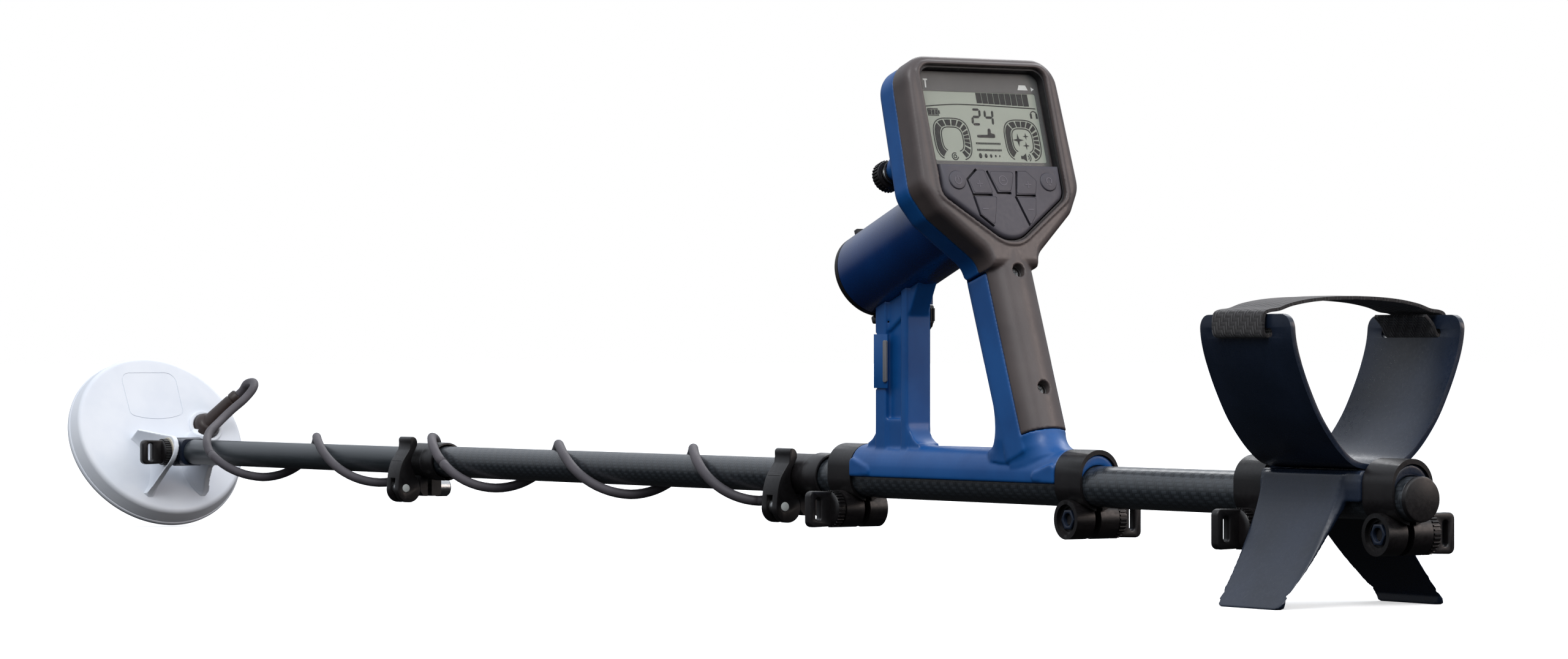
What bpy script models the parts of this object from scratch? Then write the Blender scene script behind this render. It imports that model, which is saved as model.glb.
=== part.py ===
"""A hand-held metal detector: search coil, three-piece telescopic shaft with cam locks,
handle with display pod and battery housing, arm cuff and stand.

Every size is in millimetres until a mesh is made. The shaft's axis runs along X: the coil is at -X and
the arm cuff at +X. Places along the shaft are stations, measured forward from its rear end. Cross
sections of the shaft's fittings are drawn round its axis, which is AXIS above the ground.
"""

from math import atan2, cos, degrees, pi, radians, sin

import bmesh
import bpy
from mathutils import Matrix, Vector

MM = 0.001
GAP = 0.3  # between touching pieces

# Driving sizes
REAR = 726.7  # X of the shaft's rear face, which centres the whole object on X = 0
AXIS = 54.5  # height of the shaft's axis above the ground
UPPER_R, MIDDLE_R, LOWER_R = 11.1, 10.0, 8.9  # the three tubes: 7/8 inch, 20 mm and 17.8 mm
TUBE_WALL = 1.0
TUBE_SIDES = 24
COIL_SIDES = 48
HOUSING_SIDES = 36
RING_STEPS = 8  # facets of each half of a clamp's ring

UPPER_ENDS = (2.8, 556.0)  # stations of each tube's rear and front ends
MIDDLE_ENDS = (500.0, 1014.0)
LOWER_ENDS = (955.0, 1353.0)

COIL_PIVOT = 1366.0  # station of the yoke bolt
COIL_TILT = 60.7  # degrees that the coil's face leans back from level
COIL_R = 67.0
COIL_RISE = 30.0  # from the coil's top face up to the yoke bolt
COIL_BACK = 30.7  # from the coil's centre back to the yoke bolt
COIL_DEPTH = 17.1
COVER_LIP = -11.5  # height of the coil cover's lower edge, from the coil's face

# The cable gland on the coil's face
GLAND_SEAT = (-5.3, 36.3)  # on the coil's face, from its centre
GLAND_AIM = (-0.38, 0.56, 0.74)
GLAND_LONG = 31.5
GLAND_SOCKET = 4.0  # height of the round seat that the sleeve leans out of

LOCKS = {"1": (979.0, 1019.0), "2": (520.0, 561.0)}  # stations of each cam lock's ends
LEVER_WIDE = 16.0
LEVER_PIN = (-17.7, -17.6)  # y and z of the lever's pin from the shaft's axis
LEVER_PIN_R = 2.65
LOBE_R = 8.2  # turns clear of the collar's lug, which is 10.7 from the pin

CLAMP_LONG = 23.0
CLAMPS = {  # station of the middle, and which side its knob is on
    "handle_front": (496.0, -1),
    "handle_rear": (275.5, 1),
    "cuff_front": (121.0, -1),
    "cuff_rear": (19.0, 1),
}
RING_R, RING_RISE = 12.9, 6.8
RING_BORE, BORE_RISE = 11.4, 5.8
BARREL_Z, BARREL_R, BARREL_HALF = -17.5, 10.6, 14.0

GRIP_LEAN = 20.3
GRIP_MIDDLE = (340.7, 73.3)  # station, and height over the shaft's axis
GRIP_HALF = 14.0
GRIP_FRONT, GRIP_SEAM, GRIP_REAR = -18.3, 6.0, 18.3
GRIP_SCREWS = (39.1, -28.5)  # places of the two screws along the grip

POD_LEAN = 17.4
POD_ORIGIN = (361.9, 176.4)  # station and height of the bottom middle of the display
POD_SEAM, POD_BACK, POD_FACE = -11.0, -27.0, 5.0
SOCKET_PLACE = (-36.0, 7.5)  # of the headset socket on the pod's back
KEY_LIFT = 6.2  # height of the keypad's crown over the display
KEY_TRAVEL = 0.6
ROUND_KEYS = {"key_power": (-30.4, -13.6), "key_light": (30.4, -13.6)}
PAD_KEYS = {
    "key_mode": [(-8.6, -8.2, 1.5), (8.2, -8.2, 1.5), (4.2, -19.4, 2), (-3.6, -19.4, 2)],
    "key_left_plus": [
        (-20.4, -20.6, 1), (-22.6, -13.0, 2), (-16.4, -7.6, 1), (-11.4, -7.6, 1), (-8.2, -20.6, 1),
    ],
    "key_left_minus": [(-20.2, -22.8, 1), (-18.0, -33.0, 2), (-10.6, -38.8, 1), (-6.0, -22.8, 1)],
    "key_right_plus": [(11.2, -7.6, 1), (16.4, -7.6, 1), (22.6, -13.0, 2), (20.4, -20.6, 1), (8.0, -20.6, 1)],
    "key_right_minus": [(20.2, -22.8, 1), (18.0, -33.0, 2), (13.4, -38.8, 1), (6.4, -22.8, 1)],
}

HOUSING_LEAN = 20.3
HOUSING_FRONT = (483.0, 114.4)  # station and height of the middle of the battery cap
HOUSING_R, HOUSING_WALL = 24.5, 2.5
HOUSING_LONG = 106.0
CAP_THICK = 4.0

POST_FRONT, POST_REAR = 465.5, 434.3
POST_HALF = 8.4
PORT_DOOR = (51.0, 82.0)  # heights of the door in the post's front
PLUG_PLACE = (455.8, 16.8)  # station and y of the coil lead's plug

CUFF_ENDS = (33.3, 105.3)
CUFF_WALL = 2.8
CUFF_CURVE = [  # y and height of the outside of the cuff, from the bottom middle to its top
    (0, 13.6), (8, 14.0), (16.5, 16.3), (24, 21.8), (31, 29.2), (38.2, 39.0), (44, 49.6), (49, 60.5),
    (52.8, 71),
    (54.8, 80), (55.4, 90.2),
]
STRAP_ENDS = (51.0, 91.0)
STRAP_THICK = 1.8
STRAP_CURVE = [  # y and height of the strap's middle, from its end outside the cuff's wall to the arm's top
    (57.6, 80.0), (57.9, 86.0), (57.0, 91.2), (50, 92.6), (40, 95.0), (28, 97.0), (14, 98.4), (0, 98.9),
]

# The coil lead. A route lists station, y and height over the shaft's axis.
# A winding lists station, angle and radius.
LEAD_R = 3.0
LEAD_SAG = 0.5
LEAD_LOOP = [  # station, y and height from the gland over the lower tube to its near side
    (1385.0, 57.5, 48.5), (1374.0, 57.5, 49.5), (1364.0, 52.0, 45.0), (1358.0, 42.0, 37.5),
    (1351.0, 28.0, 29.5),
    (1341.0, 13.0, 21.0), (1327.0, -1.0, 14.5), (1311.0, -11.0, 8.0),
]
NEAR_SIDE = (1296.0, 90, 14.6)
LOCK_1_FAR = (1034.0, 630, 15.6)
LOCK_1_NEAR = (957.0, 810, 15.2)
UNDER = (600.0, 1620, 15.4)
LOWER_WRAP = [NEAR_SIDE, (1245, 180, 15.2), (1164, 360, 14.0), (1073, 540, 15.2), LOCK_1_FAR]
LOCK_WRAP = [LOCK_1_FAR, (1014, 675, 16.2), (1000, 720, 16.2), (978, 765, 16.2), LOCK_1_NEAR]
MIDDLE_WRAP = [LOCK_1_NEAR, (915, 900, 15.2), (835, 1080, 14.2), (747, 1260, 15.2), (674, 1440, 14.2), UNDER]
POD_RUN = [
    (588, 7.0, -14.0), (577, 12.8, -9.0), (565, 16.2, -4.0), (550, 17.2, -1.0), (520, 17.5, 1.0),
    (495, 17.8, 1.5),
    (475, 17.6, 5.0), (461, 17.2, 16.0), (456, 16.9, 34.0), (455.8, 16.8, 60.0), (455.8, 16.8, 82.9),
]

# colour, roughness, metallic
FINISHES = {
    "coil_white": ((0.80, 0.82, 0.87), 0.45, 0.0),
    "blue_plastic": ((0.03, 0.095, 0.28), 0.42, 0.0),
    "grey_plastic": ((0.085, 0.078, 0.08), 0.40, 0.0),
    "black_plastic": ((0.012, 0.012, 0.014), 0.45, 0.0),
    "cuff_plastic": ((0.02, 0.023, 0.03), 0.42, 0.0),
    "carbon": ((0.02, 0.023, 0.026), 0.35, 0.0),
    "dark_tube": ((0.025, 0.03, 0.033), 0.4, 0.0),
    "steel": ((0.5, 0.52, 0.5), 0.35, 1.0),
    "copper": ((0.6, 0.25, 0.1), 0.4, 1.0),
    "glass": ((0.1, 0.1, 0.1), 0.05, 0.0),
    "display": ((0.35, 0.4, 0.36), 0.3, 0.0),
    "board": ((0.02, 0.15, 0.05), 0.5, 0.0),
    "webbing": ((0.012, 0.01, 0.011), 0.9, 0.0),
    "lead_rubber": ((0.07, 0.062, 0.068), 0.6, 0.0),
}


def clear_scene():
    for old in list(bpy.data.objects):
        bpy.data.objects.remove(old, do_unlink=True)


def finish(name):
    found = bpy.data.materials.get(name)
    if found:
        return found
    colour, roughness, metallic = FINISHES[name]
    made = bpy.data.materials.new(name)
    made.use_nodes = True
    shader = made.node_tree.nodes["Principled BSDF"]
    shader.inputs["Base Color"].default_value = (*colour, 1.0)
    shader.inputs["Roughness"].default_value = roughness
    shader.inputs["Metallic"].default_value = metallic
    return made


# Shapes, as bmeshes in millimetres


def skin(rings, closed=True):
    """A body through rings of equally many points, capped at both ends unless it closes on itself."""
    bm = bmesh.new()
    rows = [[bm.verts.new(p) for p in ring] for ring in rings]
    count = len(rows[0])
    pairs = list(zip(rows, rows[1:]))
    if not closed:
        pairs.append((rows[-1], rows[0]))
    for low, high in pairs:
        for i in range(count):
            j = (i + 1) % count
            bm.faces.new((low[i], low[j], high[j], high[i]))
    if closed:
        bm.faces.new(rows[0][::-1])
        bm.faces.new(rows[-1])
    bmesh.ops.recalc_face_normals(bm, faces=bm.faces)
    return bm


def turned(profile, sides=TUBE_SIDES):
    """The closed profile of (radius, height) points turned about Z. Radius 0 makes a pole."""
    bm = bmesh.new()
    rows = []
    for radius, height in profile:
        if radius == 0:
            rows.append([bm.verts.new((0, 0, height))])
        else:
            angles = [2 * pi * i / sides for i in range(sides)]
            rows.append([bm.verts.new((radius * cos(a), radius * sin(a), height)) for a in angles])
    for low, high in zip(rows, rows[1:] + rows[:1]):
        if len(low) == len(high) == 1:
            continue
        for i in range(sides):
            j = (i + 1) % sides
            if len(low) == 1:
                bm.faces.new((low[0], high[j], high[i]))
            elif len(high) == 1:
                bm.faces.new((low[i], low[j], high[0]))
            else:
                bm.faces.new((low[i], low[j], high[j], high[i]))
    bmesh.ops.recalc_face_normals(bm, faces=bm.faces)
    return bm


def ring_profile(inner, outer, low, high):
    return [(inner, low), (outer, low), (outer, high), (inner, high)]


def disc_profile(radius, low, high):
    return [(0, low), (radius, low), (radius, high), (0, high)]


def arc(centre, radius, start, end, steps):
    """Points on an arc, with its angles in degrees."""
    angles = [radians(start + (end - start) * i / steps) for i in range(steps + 1)]
    return [(centre[0] + radius * cos(a), centre[1] + radius * sin(a)) for a in angles]


def rounded(corners, steps=4):
    """The outline through (x, y, radius) corners, with an arc at each corner that has a radius."""
    outline = []
    for i, (x, y, radius) in enumerate(corners):
        here = Vector((x, y))
        if radius == 0:
            outline.append((x, y))
            continue
        back = (Vector(corners[i - 1][:2]) - here).normalized()
        ahead = (Vector(corners[(i + 1) % len(corners)][:2]) - here).normalized()
        half = back.angle(ahead) / 2
        middle = here + (back + ahead).normalized() * radius / sin(half)
        first = here + back * radius / abs(sin(half) / cos(half)) - middle
        last = here + ahead * radius / abs(sin(half) / cos(half)) - middle
        turn = first.angle_signed(last)
        start = atan2(first.y, first.x)
        for k in range(steps + 1):
            a = start - turn * k / steps
            outline.append((middle.x + radius * cos(a), middle.y + radius * sin(a)))
    return outline


def prism(outline, low, high):
    return skin([[(x, y, low) for x, y in outline], [(x, y, high) for x, y in outline]])


def section(outline, first, last):
    """A prism along X with an outline of (y, z) points."""
    return skin([[(x, y, z) for y, z in outline] for x in (first, last)])


def side_view(outline, first, last):
    """A prism along Y with an outline of (x, z) points."""
    return skin([[(x, y, z) for x, z in outline] for y in (first, last)])


def box(low, high):
    (x0, y0, z0), (x1, y1, z1) = low, high
    return prism([(x0, y0), (x1, y0), (x1, y1), (x0, y1)], z0, z1)


def aimed(bm, towards, start=(0, 0, 0)):
    """Turns a body's Z axis towards a direction and moves its origin to start."""
    turn = Vector(towards).to_track_quat("Z", "Y").to_matrix().to_4x4()
    bmesh.ops.transform(bm, matrix=Matrix.Translation(start) @ turn, verts=bm.verts)
    return bm


def bevelled(bm, width, sharpest=40, segments=1):
    """Bevels the edges that turn more than the given number of degrees."""
    edges = [e for e in bm.edges if e.is_manifold and degrees(e.calc_face_angle(0)) > sharpest]
    bmesh.ops.bevel(
        bm, geom=edges, offset=width, offset_type="OFFSET", segments=segments, affect="EDGES", profile=0.5,
        clamp_overlap=True,
    )
    return bm


# Objects


def place(name, bm, material, at=(0, 0, 0), parent=None):
    """Makes an object of a body drawn round its own origin."""
    mesh = bpy.data.meshes.new(name)
    bmesh.ops.scale(bm, vec=(MM, MM, MM), verts=bm.verts)
    bm.to_mesh(mesh)
    bm.free()
    mesh.shade_smooth()
    mesh.set_sharp_from_angle(angle=radians(35))
    obj = bpy.data.objects.new(name, mesh)
    if material:
        mesh.materials.append(finish(material))
    obj.location = Vector(at) * MM
    obj.parent = parent
    bpy.context.scene.collection.objects.link(obj)
    return obj


def helper(bm, at=(0, 0, 0), parent=None):
    obj = place("helper", bm, None, at, parent)
    obj.hide_render = True
    obj.display_type = "WIRE"
    return obj


def combine(obj, operation, other):
    modifier = obj.modifiers.new(operation.title(), "BOOLEAN")
    modifier.operation = operation
    modifier.solver = "EXACT"
    modifier.object = other
    return obj


def cut(obj, bm, at=(0, 0, 0), parent=None):
    return combine(obj, "DIFFERENCE", helper(bm, at, parent))


def join(obj, bm, at=(0, 0, 0), parent=None):
    return combine(obj, "UNION", helper(bm, at, parent))


def empty(name, at, turn):
    obj = bpy.data.objects.new(name, None)
    obj.matrix_world = Matrix.Translation(Vector(at) * MM) @ turn.to_4x4()
    bpy.context.scene.collection.objects.link(obj)
    return obj


def on_shaft(station, y=0.0, z=0.0):
    """The world place, in millimetres, of a point given from the shaft's rear end and axis."""
    return (REAR - station, y, AXIS + z)


def along_y(profile, sides=20):
    return aimed(turned(profile, sides), (0, 1, 0))


def along_x(profile, sides=TUBE_SIDES):
    return aimed(turned(profile, sides), (1, 0, 0))


# The search coil, drawn round the yoke bolt with X back along its face and Z out of it


def build_coil():
    tilt = Matrix.Rotation(radians(COIL_TILT), 3, "Y")
    frame = empty("coil_frame", on_shaft(COIL_PIVOT), tilt)
    centre = (-COIL_BACK, 0, -COIL_RISE)
    build_coil_cover(frame, centre)
    build_coil_inside(frame, centre)
    build_gland(frame, centre)
    build_yoke(frame)


def build_coil_cover(frame, centre):
    outer = [(0, 0), (60.5, 0), (63.4, -0.7), (64.9, -2.6), (66.4, COVER_LIP)]
    inner = [(62.5, COVER_LIP), (61.5, -3.2), (0, -3.2)]
    cover = place("coil_cover", turned(outer + inner, COIL_SIDES), "coil_white", centre, frame)
    label = rounded([(-51, -22, 8), (-16, -21.5, 5), (-9.5, 0, 60), (-16, 21.5, 5), (-51, 22, 8)])
    cut(cover, prism(label, -0.7, 3), centre, frame)
    for hand in (-1, 1):
        add_ear(cover, frame, hand)
    bolt_hole = along_y(disc_profile(3.3, -40, 40), 16)
    cut(cover, bolt_hole, (0, 0, 0), frame)


def add_ear(cover, frame, hand):
    """A curved fin that rises from the cover round one end of the yoke bolt."""
    bend, thick = 36.2, 3.6
    middle = (-COIL_BACK + 26.0, hand * (10.9 + bend))
    spread = 46.0
    facing = -90 * hand
    near = arc(middle, bend, facing - spread, facing + spread, 10)
    far = arc(middle, bend - thick, facing + spread, facing - spread, 10)
    wall = prism(near + far, -COIL_RISE - 2.0, 12.0)
    crest = arc((0, 0), 8.0, 120, -20, 8)
    foot = -COIL_RISE - 2.0
    outline = [(-36.5, foot), (-30, -COIL_RISE + 3), (-14, -14)] + crest + [(12, -16), (17.5, foot)]
    ear = helper(wall, (0, 0, 0), frame)
    combine(ear, "INTERSECT", helper(side_view(outline, -60, 60), (0, 0, 0), frame))
    boss = along_y(disc_profile(7.6, *sorted((hand * 10.7, hand * 14.8))), 24)
    combine(ear, "UNION", helper(boss, (0, 0, 0), frame))
    combine(cover, "UNION", ear)
    spot_face = along_y(disc_profile(10.4, *sorted((hand * 14.8, hand * 40))), 28)
    cut(cover, spot_face, (0, 0, 0), frame)


def build_coil_inside(frame, centre):
    lip = COVER_LIP - GAP
    bottom = -COIL_DEPTH
    base = [
        (0, bottom), (COIL_R - 3.5, bottom), (COIL_R - 0.8, bottom + 1.2), (COIL_R, bottom + 3),
        (COIL_R, lip - 0.4),
        (COIL_R - 0.6, lip), (60, lip), (60, bottom + 2.4), (0, bottom + 2.4),
    ]
    place("coil_base", turned(base, COIL_SIDES), "coil_white", centre, frame)
    winding = ring_profile(46, 58.5, bottom + 2.4 + GAP, -5.5)
    place("coil_winding", turned(winding, 32), "copper", centre, frame)


def build_gland(frame, centre):
    seat = (centre[0] + GLAND_SEAT[0], GLAND_SEAT[1], centre[2])
    shape = [(0, GAP), (9.4, GAP), (9.4, 2.5), (7.0, 7.0), (3.0, 8.5), (0, 8.5)]
    gland = place("coil_gland", turned(shape, 24), "black_plastic", seat, frame)
    sleeve = [(0, 0), (5.6, 0), (5.2, 12), (4.9, GLAND_LONG - 2), (4.3, GLAND_LONG), (0, GLAND_LONG)]
    join(gland, aimed(turned(sleeve, 16), GLAND_AIM, (0, 0, GLAND_SOCKET)), seat, frame)


def build_yoke(frame):
    """The plug in the lower tube's end, its bolt and the paddle knob that clamps it."""
    pivot = on_shaft(COIL_PIVOT)
    reach = COIL_PIVOT - LOWER_ENDS[1]
    bore = LOWER_R - TUBE_WALL - GAP
    eye = along_y(disc_profile(10.2, -10.4, 10.4), 24)
    insert = place("yoke_insert", eye, "black_plastic", pivot)
    neck = [
        (0, 2), (8.8, 2), (8.8, reach - GAP), (bore, reach - GAP), (bore, reach + 34), (bore - 1, reach + 35),
        (0, reach + 35),
    ]
    join(insert, along_x(neck), pivot)
    cut(insert, along_y(disc_profile(3.3, -20, 20), 16), pivot)
    head = [(0, 16.8), (0, 20.6), (5.6, 20.6), (5.6, 15.3), (3.0, 15.3), (3.0, -20.8), (0, -20.8)]
    place("yoke_bolt", along_y(head[::-1], 16), "steel", pivot)
    build_knob("yoke_knob", pivot, -1, 15.3, 9.4, 8.8, 17.0)


def build_knob(name, at, hand, start, disc_r, half_tall, long):
    """A round nut with an upright paddle that has a slot through it. start is the nut's inner face."""
    nut = 5.6
    profile = disc_profile(disc_r, start, start + nut)
    knob = place(name, aimed(turned(profile, 20), (0, hand, 0)), "black_plastic", at)
    far = start + nut + long - 2
    outline = rounded([
        (start + 2, -half_tall, 0), (far, -half_tall, 2.5), (far, half_tall, 2.5), (start + 2, half_tall, 0),
    ], 3)
    paddle = section([(hand * y, z) for y, z in outline], -2.7, 2.7)
    join(knob, paddle, at)
    slot = arc((far - 6.2, 4.6), 1.7, 0, 180, 4) + arc((far - 6.2, -4.6), 1.7, 180, 360, 4)
    cut(knob, section([(hand * y, z) for y, z in slot], -6, 6), at)
    if name == "yoke_knob":
        cut(knob, aimed(turned(disc_profile(3.3, 0, start + nut + 1), 16), (0, hand, 0)), at)
    return knob


# The shaft


def build_tubes():
    for name, radius, ends, material in (
        ("upper_tube", UPPER_R, UPPER_ENDS, "carbon"),
        ("middle_tube", MIDDLE_R, MIDDLE_ENDS, "carbon"),
        ("lower_tube", LOWER_R, LOWER_ENDS, "dark_tube"),
    ):
        long = ends[1] - ends[0]
        profile = ring_profile(radius - TUBE_WALL, radius, 0, long)
        place(name, along_x(profile), material, on_shaft(ends[1]))
    plug = UPPER_R - TUBE_WALL - GAP
    face = UPPER_ENDS[0] - GAP
    cap = [
        (0, 0), (UPPER_R - 0.4, 0), (UPPER_R + 0.2, -0.5), (UPPER_R + 0.2, -face), (plug, -face), (plug, -20),
        (0, -20),
    ]
    place("end_cap", along_x(cap), "black_plastic", on_shaft(0))


# A cam lock: a split collar, pulled closed by a lever with an eccentric lobe


def build_lock(mark, outer_tube_r, inner_tube_r):
    rear, front = LOCKS[mark]
    long = front - rear
    at = on_shaft(front)
    build_collar(mark, at, long, outer_tube_r, inner_tube_r)
    lever_at = (at[0] + GAP, at[1] + LEVER_PIN[0], at[2] + LEVER_PIN[1])
    build_lever(mark, lever_at)
    build_lock_bolt(mark, lever_at)


def build_collar(mark, at, long, outer_tube_r, inner_tube_r):
    bore, mouth = outer_tube_r + GAP, inner_tube_r + GAP
    body, flare = outer_tube_r + 1.7, outer_tube_r + 2.5
    shell = [
        (0, 0), (body - 0.8, 0), (body, 1.2), (body, long - 17), (flare, long - 14), (flare, long - 0.6),
        (flare - 0.6, long), (0, long),
    ]
    collar = place(f"collar_{mark}", along_x(shell), "black_plastic", at)
    pin_z = LEVER_PIN[1]
    lug_top = -8.0
    lugs = [(-7.0, lug_top), (-7.0, pin_z - 2), (-4.5, pin_z - 5.4), (8.6, pin_z - 5.4), (8.6, lug_top)]
    join(collar, section(lugs, 1.0, LEVER_WIDE), at)
    hollow = [
        (0, -1), (mouth, -1), (mouth, 4), (bore, 4), (bore, long - 3), (bore + 1.0, long + 0.5),
        (0, long + 0.5),
    ]
    cut(collar, along_x(hollow), at)
    cut(collar, box((-1, -1.5, pin_z - 8), (long + 1, 1.5, -5)), at)
    bolt_way = aimed(turned(disc_profile(2.6, -20, 20), 16), (0, 1, 0), (LEVER_WIDE / 2 + GAP, 0, pin_z))
    cut(collar, bolt_way, at)


def lever_outline():
    """The lever seen along the shaft, from its pin: an eccentric lobe, an arm round the collar, a tip."""
    lobe = arc((2.2, -1.0), LOBE_R, 168, 376, 14)
    inner = [(8.9, 5.2), (6.6, 8.6), (4.6, 12.6), (3.8, 17.2), (4.6, 21.4), (6.8, 25.2)]
    tip = [(8.2, 28.0), (8.2, 30.8), (6.8, 33.0), (4.6, 33.6), (3.0, 32.2), (3.4, 29.0)]
    outer = [(2.6, 25.6), (0.0, 21.8), (-3.0, 17.0), (-4.9, 11.0), (-5.8, 5.0)]
    return lobe + inner + tip + outer


def build_lever(mark, at):
    lever = place(f"lever_{mark}", section(lever_outline(), 0, LEVER_WIDE), "black_plastic", at)
    pin = [(y, z) for y, z in arc((0, 0), LEVER_PIN_R + 0.1, 0, 337.5, 15)]
    cut(lever, section(pin, -1, LEVER_WIDE + 1), at)
    slot = 3.1  # half of the slot that the bolt's eye turns in
    middle = LEVER_WIDE / 2
    cut(lever, box((middle - slot, -12, -14), (middle + slot, 14, 6.5)), at)
    rod = aimed(turned(disc_profile(LEVER_PIN_R, 0.2, LEVER_WIDE - 0.2), 16), (1, 0, 0))
    place(f"lever_pin_{mark}", rod, "steel", at)


def build_lock_bolt(mark, at):
    """The bolt whose eye sits on the lever's pin, with the round nut on its other end."""
    middle = LEVER_WIDE / 2
    eye = aimed(turned(disc_profile(4.8, -2.7, 2.7), 20), (1, 0, 0), (middle, 0, 0))
    bolt = place(f"lock_bolt_{mark}", eye, "steel", at)
    nut_start = 8.6 + GAP - LEVER_PIN[0]
    shank = [
        (0, 1), (2.3, 1), (2.3, nut_start), (6.0, nut_start), (6.0, nut_start + 7.6), (5.2, nut_start + 8.6),
        (0, nut_start + 8.6),
    ]
    join(bolt, aimed(turned(shank, 16), (0, 1, 0), (middle, 0, 0)), at)
    cut(bolt, aimed(turned(disc_profile(LEVER_PIN_R + 0.15, -4, 4), 16), (1, 0, 0), (middle, 0, 0)), at)


# Ring clamps that hold the handle and the cuff's base down on the upper tube


def stadium(radius, rise, steps=RING_STEPS):
    """A circle round the tube, drawn upwards by rise."""
    return arc((0, 0), radius, 180, 360, steps) + arc((0, rise), radius, 0, 180, steps)


def build_clamp(name, station, hand):
    at = on_shaft(station)
    half = CLAMP_LONG / 2
    ring = place(f"{name}_clamp", section(stadium(RING_R, RING_RISE), -half, half), "black_plastic", at)
    barrel = along_y(disc_profile(BARREL_R, -BARREL_HALF, BARREL_HALF), 24)
    bmesh.ops.translate(barrel, vec=(0, 0, BARREL_Z), verts=barrel.verts)
    join(ring, barrel, at)
    cut(ring, section(stadium(RING_BORE, BORE_RISE), -half - 1, half + 1), at)
    cut(ring, box((-half - 1, -2, BARREL_Z - BARREL_R - 1), (half + 1, 2, -6)), at)
    core = at[0], at[1], at[2] + BARREL_Z
    floor = BARREL_HALF - 2.2  # of the recess that holds the stud's nut
    bore = [(0, -20), (3.1, -20), (3.1, floor), (7.9, floor), (7.9, 20), (0, 20)]
    cut(ring, aimed(turned(bore, 14), (0, -hand, 0)), core)
    knob = build_knob(f"{name}_knob", core, hand, BARREL_HALF + GAP, BARREL_R, 10.4, 16.6)
    stud = disc_profile(2.7, -BARREL_HALF + 0.6, BARREL_HALF + 2)
    join(knob, aimed(turned(stud, 16), (0, hand, 0)), core)


# The handle


def beam_half():
    """Half of the handle beam's section, which saddles the upper tube."""
    return [(13.2, 1.0), (13.2, 7.6), (12.2, 11.4), (9.6, 15.6), (5.6, 18.6), (0, 19.6)]


def saddle(half_outline):
    return half_outline + [(-y, z) for y, z in reversed(half_outline[:-1])]


def tongue_outline():
    """The tongue that a clamp's ring holds down on the tube."""
    half = RING_BORE - GAP
    return [(half, 1.0)] + arc((0, BORE_RISE), half, 0, 180, RING_STEPS) + [(-half, 1.0)]


def tube_relief(first, last):
    """What a piece that sits on the upper tube is hollowed by, between two stations."""
    return along_x(disc_profile(UPPER_R + GAP, 0, first - last))


def build_handle_frame():
    rear_ring = CLAMPS["handle_rear"][0] + CLAMP_LONG / 2 + GAP
    front_ring = CLAMPS["handle_front"][0] - CLAMP_LONG / 2 - GAP
    tongues = (CLAMPS["handle_front"][0] + 10.5, CLAMPS["handle_rear"][0] - 10.5)
    origin = on_shaft(0)
    frame = place(
        "handle_frame", section(saddle(beam_half()), -front_ring, -rear_ring), "blue_plastic", origin,
    )
    join(frame, section(tongue_outline(), -tongues[0], -tongues[1]), origin)
    for low, high, half in (
        (POST_FRONT, 455.0, POST_HALF), (456.0, 439.0, 5.0), (440.0, POST_REAR, POST_HALF),
    ):
        column = box((-low, -half, 12), (-high, half, 122))
        join(frame, bevelled(column, 1.2) if half > 5 else column, origin)
    foot = [(-475, 16)] + arc((-479, 34), 14, -75, 0, 4) + arc((-420.5, 34), 14, 180, 255, 4) + [(-424, 16)]
    join(frame, side_view(foot, -5.2, 5.2), origin)
    add_grip(frame)
    housing_clear = turned(disc_profile(HOUSING_R + GAP, -20, HOUSING_LONG + 20), HOUSING_SIDES)
    cut(frame, housing_clear, (0, 0, 0), bpy.data.objects["housing_frame"])
    pod_clear = box((-70, -62 - GAP, POD_BACK - 0.1), (70, 80, 40))
    cut(frame, pod_clear, (0, 0, 0), bpy.data.objects["pod_frame"])
    cut(frame, tube_relief(520, 240), on_shaft(520))
    latch_clear = box((HOUSING_R - 2, -7, -5), (HOUSING_R + 13, 7, 19))
    cut(frame, latch_clear, (0, 0, 0), bpy.data.objects["housing_frame"])
    door = box((-POST_FRONT - 2, -20, PORT_DOOR[0]), (-POST_FRONT + 1.8, 20, PORT_DOOR[1]))
    cut(frame, door, origin)


def add_grip(frame):
    """The blue front of the grip, with the flares that run it into the beam."""
    grip_frame = bpy.data.objects["grip_frame"]
    corner = 9.5
    front = GRIP_FRONT + corner
    outline = (
        [(GRIP_SEAM, GRIP_HALF)]
        + arc((front, GRIP_HALF - corner), corner, 90, 180, 5)
        + arc((front, corner - GRIP_HALF), corner, 180, 270, 5)
        + [(GRIP_SEAM, -GRIP_HALF)]
    )
    join(frame, prism(outline, -61, 62), (0, 0, 0), grip_frame)
    origin = on_shaft(0)
    front_flare = [(-334, 12), (-388, 14)] + arc((-372, 33.5), 15.5, -90, -15, 5) + [(-345, 50)]
    join(frame, side_view(front_flare, -12.2, 12.2), origin)
    heel = arc((-283, 39), 20, 180, 255, 6)
    rear_flare = [(-340, 14), (-340, 21), (-302.5, 30.3)] + heel[2:] + [(-288, 14)]
    join(frame, side_view(rear_flare, -12.4, 12.4), origin)
    seat = box((GRIP_SEAM, -30, -52), (40, 30, 90))
    cut(frame, seat, (0, 0, 0), grip_frame)
    for height in GRIP_SCREWS:
        hole = aimed(turned(disc_profile(1.7, -8, 12), 12), (1, 0, 0), (0, 0, height))
        cut(frame, hole, (0, 0, 0), grip_frame)


def pod_outline(shrink=0.0):
    """The pod seen on its face: nearly square above, drawn in to the grip below."""
    s = shrink
    right = [
        (15.5 - s, s - 62, 0), (16.5 - s, -55.5 + s / 2, 14), (44.5 - s, -30.5 + s / 2, 12),
        (52.8 - s, -16, 16),
        (50.0 - s, 59.5 - s, 15),
    ]
    left = [(-x, y, r) for x, y, r in reversed(right)]
    return rounded(right + left, 5)


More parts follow.
